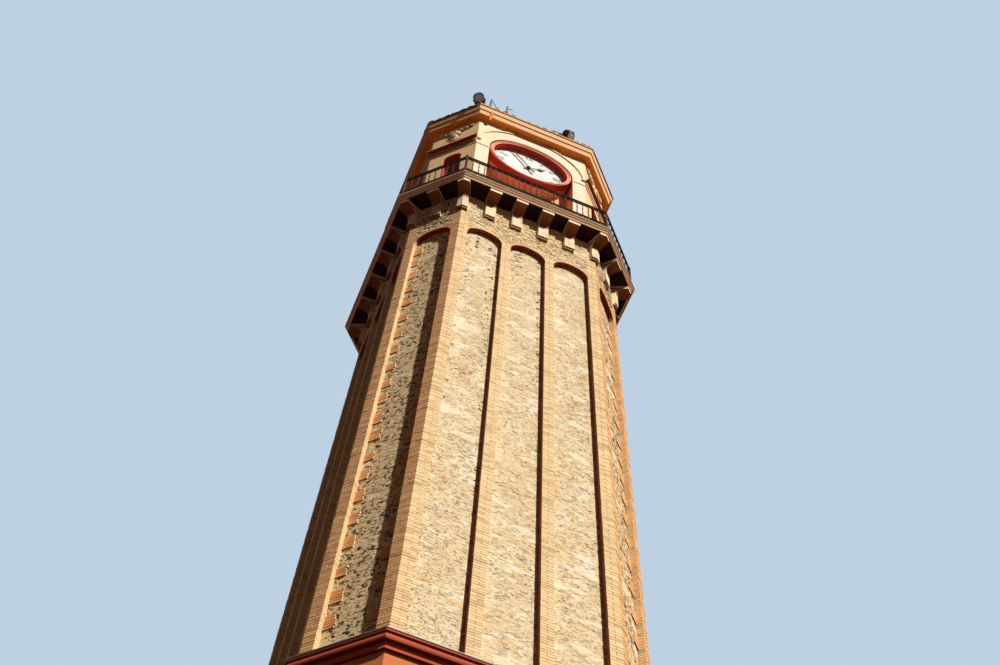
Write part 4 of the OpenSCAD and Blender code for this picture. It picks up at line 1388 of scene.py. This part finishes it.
class TOWER_OT_clocks(bpy.types.Operator):
    """Marks the dials and finishes the drums and the hands"""

    bl_idname = "tower.clocks"
    bl_label = "Clocks"

    # Foot of the numerals, radii of the ruled rings, and how far the hands' front stands out of the dial
    numeral_foot = 0.580
    rings = (0.776, 0.816, 0.560)
    hand_front = 0.050

    def execute(self, context):
        top = context.scene.tower_top
        dress(dial_finish(), "dials")
        dress(drum_finish(top.rim, top.barrel), "clock_drums")
        black = plain_paint_finish("hand_paint", (0.08, 0.08, 0.085), 0.4, dust=0.2)
        dress(black, *[f"{kind}_hand_{f}" for kind in ("minute", "hour") for f in FACES])
        marks = Shape()
        for side in WIDE_SIDES:
            self.dial_marks(marks, side.matrix @ moved(0, DIAL_SET - ROOM_HALF, CLOCK_Z), top.numeral)
        mark_paint = plain_paint_finish("mark_paint", (0.13, 0.12, 0.12), 0.5, dust=0.35)
        marks.keep("dial_marks", "black_hand", mark_paint)
        # A domed nut holds each minute hand
        profile = [(0.034, 0.0), (0.034, 0.005), (0.028, 0.012), (0.016, 0.018), (0.004, 0.021)]
        spot = moved(0, DIAL_SET - self.hand_front - ROOM_HALF, CLOCK_Z) @ FORWARD
        for side, face in zip(WIDE_SIDES, FACES):
            nut = Shape()
            nut.add(capped_lathe(profile, 20), side.matrix @ spot)
            nut.keep(f"minute_nut_{face}", "black_hand", black, body=f"minute_{face}", smooth=True)
        return {"FINISHED"}

    def dial_marks(self, shape, matrix, tall):
        """Numerals, a mark for each minute and the ruled rings."""
        front, back = -0.0025, 0.001
        for hour, word in enumerate(NUMERALS):
            widths = [letter_strokes(letter)[1] for letter in word]
            gap = 0.10
            total = sum(widths) + gap * (len(word) - 1)
            squeeze = min(1.0, 1.15 / total)
            turned = matrix @ Matrix.Rotation(math.radians(30 * hour), 4, "Y")
            x = -total / 2
            for letter, width in zip(word, widths):
                for x0, z0, x1, z1, w in letter_strokes(letter)[0]:
                    x0, x1 = ((x + end) * tall * squeeze for end in (x0, x1))
                    z0, z1 = (self.numeral_foot + end * tall for end in (z0, z1))
                    shape.add(stroke(x0, z0, x1, z1, w * tall, front, back), turned)
                x += width + gap
        for minute in range(60):
            turned = matrix @ Matrix.Rotation(math.radians(6 * minute), 4, "Y")
            w = 0.014 if minute % 5 == 0 else 0.004
            shape.add(stroke(0, 0.784, 0, 0.810, w, front, back), turned)
        for r in self.rings:
            path = [(x, z) for z, x in circle(r, 96)]
            shape.add(flat_wire(path, 0.0025, 0.003, closed=True), matrix)


# The reliefs' leaves: x, z, turn in degrees, length and width, in millimetres from the flower's middle
STEM_LEAVES = [
    (0, 130, 0, 200, 84), (-14, 250, -52, 150, 70), (14, 250, 52, 150, 70), (-14, 330, -28, 190, 88),
    (14, 330, 28, 190, 88), (0, 450, 0, 220, 92), (-12, 470, -60, 150, 72), (12, 470, 60, 150, 72),
]
SPRAYS = [
    (s * x, z, s * turn, length, width)
    for x, z, turn, length, width in (
        (40, 600, 70, 190, 86), (60, 565, 112, 170, 78), (150, 655, 62, 120, 60), (170, 640, 80, 180, 82),
        (190, 600, 122, 160, 74), (290, 665, 70, 110, 56), (300, 640, 96, 165, 76), (330, 612, 140, 110, 56))
    for s in (-1, 1)
]


class TOWER_OT_clock_room(bpy.types.Operator):
    """Finishes the clock room: its walls, mouldings, reliefs and balcony doors"""

    bl_idname = "tower.clock_room"
    bl_label = "Clock room"

    def execute(self, context):
        top = context.scene.tower_top
        niche = (0, ROOM_HALF - 0.008, NICHE)
        cream = paint_finish("wall_paint", top.cream, None, (0.80, 0.56, 0.34), 0.16, 0.14, niche)
        dress(cream, *[f"clock_wall_{f}" for f in FACES])
        # Painted light: the narrow walls' warmer cream stands for the warm sun on them
        warm = (1.0, top.cream[1] * 0.90, top.cream[2] * 0.77)
        doorway = (1, SIDES[1].ring(ROOM_HALF, ROOM_SIDE)[0] - 0.007, (0.80, 0.27, 0.15))
        corner = paint_finish("corner_wall_paint", warm, None, (0.70, 0.42, 0.22), 0.22, 0.2, doorway)
        dress(corner, "clock_corner_walls")
        # The archivolts' darker undersides are painted shade
        arch = paint_finish("archivolt_paint", top.cream, (0.90, 0.62, 0.40), (0.80, 0.52, 0.30), 0.18, 0.15)
        dress(arch, "archivolts")
        # The soffit's bright orange is its paint and also painted bounce light
        cornice = paint_finish("cornice_paint", (1.0, 0.82, 0.62), top.soffit, (0.70, 0.40, 0.24), 0.2, 0.2)
        dress(cornice, "top_cornice")
        self.reliefs()
        self.balcony_doors()
        self.cover_strips(top)
        return {"FINISHED"}

    def reliefs(self):
        """A flower on a leafy stem under two sprays, carved in each narrow face."""
        shape = Shape()
        chance = random.Random(29)
        wall = SIDES[1].ring(ROOM_HALF, ROOM_SIDE)[0]
        flower_z = BALCONY_Z + 4.150
        boss = [(0.036, 0.0), (0.036, 0.045), (0.028, 0.058), (0.014, 0.064), (0.003, 0.066)]
        seed = [(0.007, 0.0), (0.007, 0.006), (0.003, 0.011)]
        bud = [(0.006, 0.0), (0.020, 0.010), (0.024, 0.026), (0.014, 0.040), (0.003, 0.046)]
        for side in CORNER_SIDES:
            base = side.matrix @ moved(0, -wall, flower_z)
            # Two rings of eight petals, the upper one turned by half a petal
            for reach, width, thick, depth in ((0.138, 0.078, 0.042, 0.0), (0.105, 0.062, 0.036, 0.024)):
                for k in range(8):
                    petal = in_plane(0, 0, 45 * (k + (0.5 if depth else 0)), depth) @ moved(0, 0, 0.018)
                    shape.add(leaf_solid(reach - 0.018, width, thick), base @ petal, chance.random())
            shape.add(capped_lathe(boss, 16), base @ FORWARD, 0.5)
            for x, z in circle(0.020, 8):
                shape.add(capped_lathe(seed, 8), base @ (moved(x, -0.056, z) @ FORWARD), 0.6)
            # The stem sways a little from the flower up to the soffit
            path = [(0.012 * math.sin(k * 1.1), 0.12 + 0.052 * k) for k in range(11)]
            shape.add(flat_wire(path, 0.022, 0.05), base @ moved(0, -0.010, 0), 0.4)
            for x, z, turn, length, width in STEM_LEAVES + SPRAYS:
                turn += chance.uniform(-6, 6)
                thick, curl = chance.uniform(0.040, 0.056), chance.uniform(-0.012, 0.012)
                solid = leaf_solid(length / 1000, width / 1000, thick, curl, 4)
                spot = in_plane(x / 1000, z / 1000, turn, chance.uniform(0.0, 0.010))
                shape.add(solid, base @ spot, chance.random())
            # Buds hang from the sprays
            for x, z in ((0.12, 0.50), (0.26, 0.53), (0.40, 0.575)):
                for s in (-1, 1):
                    spot = base @ moved(s * x, 0.004, z) @ FORWARD
                    shape.add(capped_lathe(bud, 10), spot, chance.random())
        f = Finish("relief_plaster")
        cloud = f.noise(7.0, 6.0, 0.65)
        stops = (0.0, (0.96, 0.83, 0.62)), (0.6, (1.0, 0.94, 0.77)), (1.0, (0.92, 0.76, 0.54))
        base = f.ramp(f.attribute("shade"), *stops)
        colour = f.mix(f.between(cloud, 0.5, 0.72) * 0.45, base, (0.50, 0.32, 0.19))
        # Painted shade darkens the hollows, close to the wall
        colour = f.mix(f.below(f.plan()[1], wall + 0.006, wall + 0.026), colour, (0.36, 0.20, 0.11))
        plaster = f.finish(colour, 0.86, cloud, 0.003)
        shape.keep("carved_reliefs", "relief_stone", plaster, "reliefs", smooth=True)

    def balcony_doors(self):
        """Frames, rails and boards over each narrow doorway's leaf."""
        red = wood_finish("balcony_door_paint", (0.44, 0.10, 0.07), True)
        dress(red, "balcony_doors")
        shape, iron = Shape(), Shape()
        half, reveal = 0.210, 0.150
        # The frame runs between two radii, and its arch springs from its jambs' heads
        outer, inner = 0.207, 0.160
        spring = BALCONY_Z + 3.213 - half
        low = SLAB_TOP + 0.004
        first_slat, slat_pitch = low + 1.07, 0.066
        back, edge = 0.002, 0.003
        knob = [(0.012, 0), (0.012, 0.012), (0.022, 0.02), (0.022, 0.032), (0.010, 0.04)]
        for side in CORNER_SIDES:
            base = side.matrix @ moved(0, reveal - side.ring(ROOM_HALF, ROOM_SIDE)[0], 0)
            arc = [(math.cos(math.radians(a)), math.sin(math.radians(a))) for a in range(0, 181, 15)]
            for a, b in zip(arc, arc[1:]):
                quad = (outer, a), (outer, b), (inner, b), (inner, a)
                outline = [(r * x, spring + r * z) for r, (x, z) in quad]
                shape.add(slab(outline, -0.016, back), base)
            for s in (-1, 1):
                x0, x1 = sorted((s * inner, s * outer))
                shape.add(block(x0, x1, -0.016, back, low, spring, edge), base)
            shape.add(block(-0.012, 0.012, -0.020, back, low, spring + 0.158, edge), base)
            for z0, z1 in ((low, low + 0.16), (low + 0.95, low + 1.05), (spring - 0.05, spring + 0.03)):
                shape.add(block(-0.162, 0.162, -0.015, back, z0, z1, edge), base)
            # Boarded below the lock rail, slatted above it
            for k in (-1, 1):
                middle = k * 0.086
                for x0 in (middle - 0.072, middle + 0.002):
                    shape.add(block(x0, x0 + 0.070, -0.007, back, low + 0.16, low + 0.95, edge), base)
                slat = block(middle - 0.071, middle + 0.071, -0.018, 0.018, 0.0, 0.011)
                for j in range(1 + int((spring - 0.10 - first_slat) / slat_pitch)):
                    spot = moved(0, 0.004, first_slat + j * slat_pitch)
                    shape.add(slat, base @ (spot @ Matrix.Rotation(math.radians(35), 4, "X")))
            iron.add(capped_lathe(knob, 12), base @ moved(-0.035, -0.018, low + 1.0) @ FORWARD)
            for z in (low + 0.25, low + 1.30, spring - 0.2):
                iron.add(block(0.150, outer, -0.022, -0.012, z, z + 0.05, 0.002), base)
        shape.keep("balcony_door_joinery", "red_paint", red)
        iron.keep("balcony_door_iron", "iron", metal_paint_finish("door_iron", (0.12, 0.12, 0.12)))

    def cover_strips(self, top):
        """A painted strip over the joint in the cornice, near the left end of the front and of the back."""
        shape = Shape()
        outline = [(0.090, 0.006), (0.112, -0.120), (0.138, -0.126), (0.164, 0.022), (0.206, 0.185),
                   (0.176, 0.180), (0.150, 0.020)]
        rings = [[(x, -out, z) for out, z in outline] for x in (-1.088, -1.030)]
        for side in (SIDES[0], SIDES[4]):
            shape.add(rings_solid(rings), side.matrix @ moved(0, -ROOM_HALF, SOFFIT_Z))
        paint = paint_finish("strip_paint", top.soffit, None, (0.55, 0.28, 0.14))
        shape.keep("cornice_strips", "salmon_paint", paint)


# Roof and what stands on it


# How far the eaves stand out and how high, the slopes' rise, and the share of the way in to the axis they go
EAVE_OUT = 0.250
EAVE_Z = ROOF_Z + 0.040
ROOF_RISE = 0.620
ROOF_SHARE = 0.97


def tile_solid(low_r, high_r, length, thick, hollow_up, segments=6):
    """A tapering half-round tile along y from its lower end, its crown or its hollow upwards."""
    sign = -1 if hollow_up else 1
    angles = [math.pi * k / segments for k in range(segments + 1)]
    rings = []
    for r, y in ((low_r, 0.0), (high_r, length)):
        outer, inner = (
            [(radius * math.cos(a), y, sign * radius * math.sin(a)) for a in angles]
            for radius in (r, r - thick))
        rings.append(outer + inner[::-1])
    n = segments + 1
    verts, faces = rings_solid(rings)
    ends = []
    for base, flip in ((0, True), (2 * n, False)):
        for k in range(segments):
            quad = (base + k, base + k + 1, base + 2 * n - 2 - k, base + 2 * n - 1 - k)
            ends.append(quad[::-1] if flip else quad)
    return verts, faces[:-2] + ends


class TOWER_OT_roof(bpy.types.Operator):
    """Lays barrel tiles on the eight slopes and their hips, and finishes the roof and its rod"""

    bl_idname = "tower.roof"
    bl_label = "Roof"

    # Length and thickness of a slope's tile, and how far rows lie apart on the slopes and on the hips
    length, thick = 0.40, 0.013
    row, hip_row = 0.315, 0.30

    def execute(self, context):
        pitch = context.scene.tower_top.tile
        clay = tile_finish()
        dress(mortar_finish(), "roof")
        chance = random.Random(17)
        covers, pans, hips = [], [], []
        for side in SIDES:
            self.slope(side, pitch, covers, pans, chance)
            self.hip(side, hips)
        for kind, places, solid, seed in (
            ("cover", covers, tile_solid(0.074, 0.060, self.length, self.thick, False), 83),
            ("pan", pans, tile_solid(0.058, 0.070, self.length, self.thick, True), 89),
            ("hip", hips, tile_solid(0.096, 0.080, 0.36, 0.014, False, 8), 97),
        ):
            lay_pieces(f"{kind}_tiles", "roof_tile", places, stamp_of(kind, solid), clay, seed)
        self.rod_base()
        self.lamps()
        return {"FINISHED"}

    def slope(self, side, pitch, covers, pans, chance):
        """Rows of covers, with pans half a pitch beside them, up one slope as far as its hips."""
        dist, half = side.ring(ROOM_HALF + EAVE_OUT, ROOM_SIDE + EAVE_OUT * T_HALF)
        run = dist * ROOF_SHARE
        slope = math.hypot(run, ROOF_RISE)
        inward, up = run / slope, ROOF_RISE / slope
        y_axis = -side.out * inward + Vector((0, 0, up))
        z_axis = side.out * up + Vector((0, 0, inward))
        sloped = Matrix((side.along, y_axis, z_axis)).transposed()
        for j in range(int(slope / self.row) + 1):
            s = 0.032 + j * self.row
            for k in range(-14, 15):
                for places, shift, lift in ((covers, 0.0, 0.016), (pans, 0.5, 0.070)):
                    u = (k + shift) * pitch
                    if abs(u) > half * (1 - ROOF_SHARE * (s + 0.16) / slope) + 0.02 or s + 0.2 > slope:
                        continue
                    u += chance.uniform(-0.008, 0.008)
                    at = s + chance.uniform(-0.016, 0.016)
                    spot = side.at(dist, u, EAVE_Z) + y_axis * at + z_axis * lift
                    tilt = math.radians(-1.6 + chance.uniform(-0.5, 0.5))
                    spin = chance.uniform(-0.03, 0.03)
                    turn = sloped @ Matrix.Rotation(spin, 3, "Z") @ Matrix.Rotation(tilt, 3, "X")
                    places.append((spot, tuple(turn.to_euler()), (1, 1, 1)))

    def hip(self, side, hips):
        """Large tiles up the hip between this slope and the next."""
        dist, half = side.ring(ROOM_HALF + EAVE_OUT, ROOM_SIDE + EAVE_OUT * T_HALF)
        foot = side.at(dist, half, EAVE_Z)
        head = Vector((foot.x * (1 - ROOF_SHARE), foot.y * (1 - ROOF_SHARE), EAVE_Z + ROOF_RISE))
        ridge = (head - foot).normalized()
        across = ridge.cross(Vector((0, 0, 1))).normalized()
        normal = across.cross(ridge)
        turn = Matrix((across, ridge, normal)).transposed() @ Matrix.Rotation(math.radians(-2), 3, "X")
        for j in range(int((head - foot).length / self.hip_row)):
            spot = foot + ridge * (0.09 + j * self.hip_row) + normal * 0.050
            hips.append((spot, tuple(turn.to_euler()), (1, 1, 1)))

    def rod_base(self):
        """A dished cap over the roof's point, and two collars on the rod."""
        zinc = sheet_finish("roof_zinc", (0.62, 0.63, 0.64))
        dress(zinc, "lightning_rod")
        shape = Shape()
        top = EAVE_Z + ROOF_RISE
        cap = [(0.20, -0.03), (0.21, 0.01), (0.19, 0.03), (0.11, 0.085), (0.05, 0.12), (0.034, 0.20),
               (0.018, 0.24)]
        shape.add(capped_lathe(cap, 16), moved(0, 0, top))
        collar = [(0.016, -0.012), (0.019, 0.0), (0.016, 0.012)]
        for z in (0.55, 0.95):
            shape.add(capped_lathe(collar, 12), moved(0, 0, top + z))
        shape.keep("rod_base", "grey_sheet", zinc)

    def lamps(self):
        """Rims, lenses, fins and yokes of the floodlights."""
        body = metal_paint_finish("lamp_paint", (0.21, 0.23, 0.20), 0.2, 0.55)
        dress(body, "floodlights")
        dress(sheet_finish("lamp_frame_zinc", (0.27, 0.26, 0.25), 0.2), "lamp_frames")
        rim = [(0.104, 0.080), (0.128, 0.072), (0.134, 0.082), (0.134, 0.094), (0.126, 0.102), (0.106, 0.100)]
        lens = [(0.105, 0.084), (0.105, 0.090), (0.070, 0.100), (0.010, 0.104)]
        fin = [(0.117, -0.004), (0.132, -0.003), (0.132, 0.003), (0.117, 0.004)]
        cap = [(0.110, -0.084), (0.096, -0.100), (0.060, -0.112), (0.020, -0.116)]
        pivot = [(0.020, -0.005), (0.026, 0.0), (0.018, 0.010)]
        below = [math.radians(a) for a in range(180, 361, 20)]
        yoke = [(0.142 * math.cos(a), 0.150 * math.sin(a)) for a in below]
        rims, glass, fins = Shape(), Shape(), Shape()
        for side in (SIDES[0], SIDES[4]):
            for x, turn in ((-1.400, 30), (0.760, -70)):
                spread = side.matrix @ moved(x, -ROOM_HALF - 0.225, ROOF_Z + 0.290)
                spread = spread @ Matrix.Rotation(math.radians(-turn), 4, "Z")
                lamp = spread @ Matrix.Rotation(math.radians(125), 4, "X")
                rims.add(lathed(rim, 32), lamp)
                glass.add(capped_lathe(lens, 32), lamp)
                for k in range(4):
                    fins.add(lathed([(r, -0.060 + 0.032 * k + z) for r, z in fin], 32), lamp)
                fins.add(capped_lathe(cap, 24), lamp)
                for s in (-1, 1):
                    spot = lamp @ moved(s * 0.128, 0, 0) @ Matrix.Rotation(s * math.pi / 2, 4, "Y")
                    fins.add(capped_lathe(pivot, 10), spot)
                # The yoke carries the lamp on its post
                post = side.matrix @ moved(x, -ROOM_HALF - 0.187, ROOF_Z)
                fins.add(block(-0.030, 0.030, -0.030, 0.030, 0.100, 0.130), post)
                fins.add(flat_wire(yoke, 0.008, 0.030), spread)
        rims.keep("lamp_rims", "lamp_metal", plain_paint_finish("lamp_rim_paint", (0.74, 0.74, 0.70), 0.45))
        lens_glass = plain_paint_finish("lamp_lens", (0.86, 0.89, 0.88), 0.12, 0.6, 0.15)
        glass.keep("lamp_lenses", "lamp_metal", lens_glass, smooth=True)
        fins.keep("lamp_fins", "lamp_metal", body)


# Base storey


class TOWER_OT_base(bpy.types.Operator):
    """Finishes the base storey: its walls, cornice, plinth, doorway and flashing"""

    bl_idname = "tower.base"
    bl_label = "Base storey"

    plinth_top, plinth_out = 1.150, 0.070
    half_door, spring, jamb, jamb_out = 0.550, 2.150, 0.220, 0.070

    def execute(self, context):
        look = context.scene.tower_base
        walls = paint_finish("base_wall_paint", look.wall, None, (0.50, 0.22, 0.12), 0.6, 0.4)
        dress(walls, "base_front_wall", "base_wide_walls", "base_corner_walls")
        # The cornice's darker undersides are painted shade
        cornice = paint_finish(
            "base_cornice_paint", look.cornice, (0.40, 0.15, 0.10), (0.30, 0.12, 0.08), 0.5)
        dress(cornice, "base_cornice")
        zinc = sheet_finish("flashing_zinc", (0.42, 0.40, 0.38), 0.2)
        dress(zinc, "flashing")
        self.seams(zinc)
        stone = stone_finish("plinth_stone", (0.76, 0.69, 0.57), 0.45)
        dress(stone, "plinth", "door_surround")
        dress(stone_finish("floor_stone", (0.66, 0.61, 0.54), 0.2), "ground_floor")
        self.plinth(stone)
        self.surround(stone)
        self.door(look.board)
        return {"FINISHED"}

    def seams(self, zinc):
        """Welts across the flashing where its sheets are joined."""
        shape = Shape()
        outline = [(0.113, -0.011), (0.115, 0.009), (-0.014, 0.064), (-0.016, 0.052), (0.100, 0.000)]
        for side in SIDES:
            dist, half = side.ring(BASE_A, BASE_C)
            count = 3 if side.wide else 1
            for k in range(count):
                x = (k - (count - 1) / 2) * 2 * half / count
                ends = (x - 0.009, x + 0.009)
                rings = [[(end, -(dist + out), BASE_H + z) for out, z in outline] for end in ends]
                shape.add(rings_solid(rings), side.matrix)
        shape.keep("flashing_welts", "grey_sheet", zinc)

    def plinth(self, stone):
        """Three courses of blocks and a coping round the plinth."""
        shape = Shape()
        chance = random.Random(41)
        tall = (self.plinth_top - 0.115) / 3
        for side in SIDES:
            dist, half = side.ring(BASE_A, BASE_C, self.plinth_out)
            for j in range(4):
                z0 = j * tall
                z1 = z0 + tall - 0.008 if j < 3 else self.plinth_top
                out = 0.008 if j < 3 else 0.022
                count = max(round(2 * half / 0.62), 1) + (j % 2)
                length = 2 * half / count
                for k in range(count):
                    x0, x1 = -half + k * length + 0.004, -half + (k + 1) * length - 0.004
                    if side.i == 0:
                        keep_out = self.half_door + self.jamb + 0.004
                        if x0 < keep_out and x1 > -keep_out:
                            if x0 < -keep_out:
                                x1 = -keep_out
                            elif x1 > keep_out:
                                x0 = keep_out
                            else:
                                continue
                    if x1 - x0 < 0.05:
                        continue
                    proud = out + chance.uniform(-0.002, 0.002)
                    stone_block = block(x0, x1, -dist - proud, -dist + 0.01, z0 + 0.002, z1, 0.010)
                    shape.add(stone_block, side.matrix, chance.random())
        shape.keep("plinth_blocks", "pale_stone", stone)

    def surround(self, stone):
        """Jamb stones and voussoirs with a keystone round the doorway."""
        shape = Shape()
        face = -BASE_A - self.jamb_out
        proud, joint = 0.010, 0.004
        rows = 6
        tall = self.spring / rows
        for k in range(rows):
            for s in (-1, 1):
                x0, x1 = sorted((s * (self.half_door + 0.003), s * (self.half_door + self.jamb - 0.003)))
                z0, z1 = k * tall + joint, (k + 1) * tall - joint
                shape.add(block(x0, x1, face - proud, face + 0.004, z0, z1, 0.008))
        count = 11
        for k in range(count):
            key = k == count // 2
            a0, a1 = (math.pi * (k + j) / count for j in (0, 1))
            r0, r1 = self.half_door + 0.003, self.half_door + self.jamb - (0.003 if not key else -0.045)
            gap = joint / r1
            arc = (a0 + gap, (a0 + a1) / 2, a1 - gap)
            outline = [(r1 * math.cos(a), self.spring + r1 * math.sin(a)) for a in arc]
            outline += [(r0 * math.cos(a), self.spring + r0 * math.sin(a)) for a in reversed(arc)]
            front = face - (0.034 if key else proud)
            back = -BASE_A + 0.002 if key else face + 0.004
            shape.add(slab(outline, front, back))
        for s in (-1, 1):
            x0, x1 = sorted((s * (self.half_door - 0.012), s * (self.half_door + self.jamb + 0.012)))
            z0, z1 = self.spring - 0.062, self.spring + 0.004
            shape.add(block(x0, x1, face - 0.026, face + 0.004, z0, z1, 0.010))
        shape.keep("surround_stones", "pale_stone", stone)

    def door(self, board):
        """Boards, ledges, straps, studs and a ring handle on the ground door."""
        wood = wood_finish("door_oak", (0.40, 0.25, 0.15), False)
        dress(wood, "entrance_door")
        leaf = -BASE_A + 0.260
        foot = 0.156
        wide = self.half_door - 0.004
        stud = [(0.013, 0), (0.012, 0.005), (0.005, 0.010)]
        boss = [(0.024, -0.014), (0.024, -0.008), (0.010, 0.006)]
        shape, iron = Shape(), Shape()

        def height(x):
            return self.spring + math.sqrt(max(wide * wide - x * x, 0.0))

        count = int(2 * wide / board)
        step = 2 * wide / count
        for k in range(count):
            x0, x1 = -wide + k * step + 0.003, -wide + (k + 1) * step - 0.003
            head = [(x, height(x) - 0.004) for x in (x1, (x0 + x1) / 2, x0)]
            shape.add(slab([(x0, foot), (x1, foot), *head], leaf - 0.016, leaf + 0.004))
        shape.add(block(-0.035, 0.035, leaf - 0.030, leaf, foot, height(0) - 0.01, 0.006))
        for z in (0.30, 1.10, 2.02):
            for s in (-1, 1):
                x0, x1 = sorted((s * 0.040, s * (wide - 0.006)))
                shape.add(block(x0, x1, leaf - 0.034, leaf, z, z + 0.13, 0.006))
                x0, x1 = sorted((s * 0.14, s * (wide - 0.004)))
                iron.add(block(x0, x1, leaf - 0.040, leaf - 0.030, z + 0.045, z + 0.085, 0.002))
                for j in range(5):
                    rise = 0.02 if j % 2 else 0.11
                    spot = moved(s * (0.07 + j * 0.105), leaf - 0.034, z + rise) @ FORWARD
                    iron.add(capped_lathe(stud, 8), spot)
        iron.add(flat_wire(circle(0.036, 20), 0.009, 0.009, closed=True), moved(0.10, leaf - 0.030, 1.34))
        iron.add(capped_lathe(boss, 16), moved(0.10, leaf - 0.030, 1.376) @ FORWARD)
        iron.add(block(0.075, 0.125, leaf - 0.020, leaf - 0.014, 1.18, 1.27, 0.002))
        shape.keep("door_boards", "door_wood", wood)
        iron.keep("door_ironwork", "iron", metal_paint_finish("door_strap_iron", (0.14, 0.14, 0.14)))


# Stage


class TOWER_OT_stage(bpy.types.Operator):
    """Makes the floor, the lights and the camera at the photograph's viewpoint"""

    bl_idname = "tower.stage"
    bl_label = "Stage"

    def execute(self, context):
        scene = context.scene
        f = Finish("plain_floor")
        far, low = 90, -0.002
        corners = [(-far, -far, low), (far, -far, low), (far, far, low), (-far, far, low)]
        floor = as_object("floor", mesh_of("floor", corners, [(0, 1, 2, 3)]))
        # Pale where it is seen, and dim in the light that it throws up
        colour = f.mix(f.seen_directly(), (0.26, 0.15, 0.10), (0.80, 0.80, 0.79))
        floor.data.materials.append(f.finish(colour, 0.9))
        self.sky(scene)
        scene.view_settings.view_transform = "Standard"
        # The key light comes from the right of the front, halfway up, and a softer one from behind
        self.sun("key", 25, 43, 4.9, 1.2)
        self.sun("back", 160, 38, 1.9, 18)
        self.camera(scene)
        return {"FINISHED"}

    @staticmethod
    def sun(name, azimuth, height, strength, softness):
        """A far lamp; its azimuth is turned from the front towards the right, in degrees."""
        azimuth, height = math.radians(azimuth), math.radians(height)
        towards = Vector((
            math.sin(azimuth) * math.cos(height), -math.cos(azimuth) * math.cos(height), math.sin(height)))
        lamp = bpy.data.lights.new(name, "SUN")
        lamp.energy = strength
        lamp.angle = math.radians(softness)
        lamp.color = (1.0, 0.96, 0.88)
        key = bpy.data.objects.new(name, lamp)
        key.rotation_mode = "QUATERNION"
        key.rotation_quaternion = towards.to_track_quat("Z", "Y")
        bpy.context.scene.collection.objects.link(key)

    def sky(self, scene):
        """A pale sky where it is seen, and a dim warm one for the shade."""
        world = bpy.data.worlds.new("plain_sky")
        world.use_nodes = True
        w = Nodes(world.node_tree)
        seen = w.node("ShaderNodeBackground", {}, {0: linear((0.74, 0.82, 0.89))})
        lit = w.node("ShaderNodeBackground", {}, {0: linear((1.0, 0.80, 0.70)), 1: 0.025})
        mixed = w.node("ShaderNodeMixShader", {}, {0: w.seen_directly(), 1: lit, 2: seen})
        w.node("ShaderNodeOutputWorld", {}, {0: mixed})
        scene.world = world

    def camera(self, scene):
        """Looks up from the ground at the front's left."""
        yaw, pitch, roll = 0.3154, 1.1257, 0.0845
        ahead = Vector((math.sin(yaw) * math.cos(pitch), math.cos(yaw) * math.cos(pitch), math.sin(pitch)))
        right = Vector((math.cos(yaw), -math.sin(yaw), 0))
        up = right.cross(ahead)
        right_r = right * math.cos(roll) + up * math.sin(roll)
        up_r = up * math.cos(roll) - right * math.sin(roll)
        focal, image_w = 1610.0, 1000.0
        data = bpy.data.cameras.new("camera")
        data.sensor_width = 36.0
        data.lens = focal / image_w * data.sensor_width
        data.clip_start, data.clip_end = 0.1, 500
        camera = bpy.data.objects.new("camera", data)
        turn = Matrix((right_r, up_r, -ahead)).transposed().to_4x4()
        camera.matrix_world = moved(-3.917, -12.873, 1.581) @ turn
        scene.collection.objects.link(camera)
        scene.camera = camera


class TOWER_PT_panel(bpy.types.Panel):
    """Lists the tower's settings and the steps of its dressing in the sidebar"""

    bl_label = "Clock Tower"
    bl_space_type = "VIEW_3D"
    bl_region_type = "UI"
    bl_category = "Clock Tower"

    def draw(self, context):
        for group, kind in GROUPS.items():
            for key in kind.__annotations__:
                self.layout.prop(getattr(context.scene, group), key)
        for operator in OPERATORS:
            self.layout.operator(operator.bl_idname)


GROUPS = {"tower_masonry": TowerMasonry, "tower_top": TowerTop, "tower_base": TowerBase}
OPERATORS = (
    TOWER_OT_stage, TOWER_OT_brickwork, TOWER_OT_rubble, TOWER_OT_balcony, TOWER_OT_clocks,
    TOWER_OT_clock_room, TOWER_OT_roof, TOWER_OT_base,
)
CLASSES = (*GROUPS.values(), *OPERATORS, TOWER_PT_panel)


def register():
    for cls in CLASSES:
        bpy.utils.register_class(cls)
    for group, kind in GROUPS.items():
        setattr(bpy.types.Scene, group, bpy.props.PointerProperty(type=kind))


def unregister():
    for group in GROUPS:
        delattr(bpy.types.Scene, group)
    for cls in reversed(CLASSES):
        bpy.utils.unregister_class(cls)


def main():
    register()
    for operator in OPERATORS:
        getattr(bpy.ops.tower, operator.bl_idname.split(".")[1])()


if __name__ == "__main__":
    main()
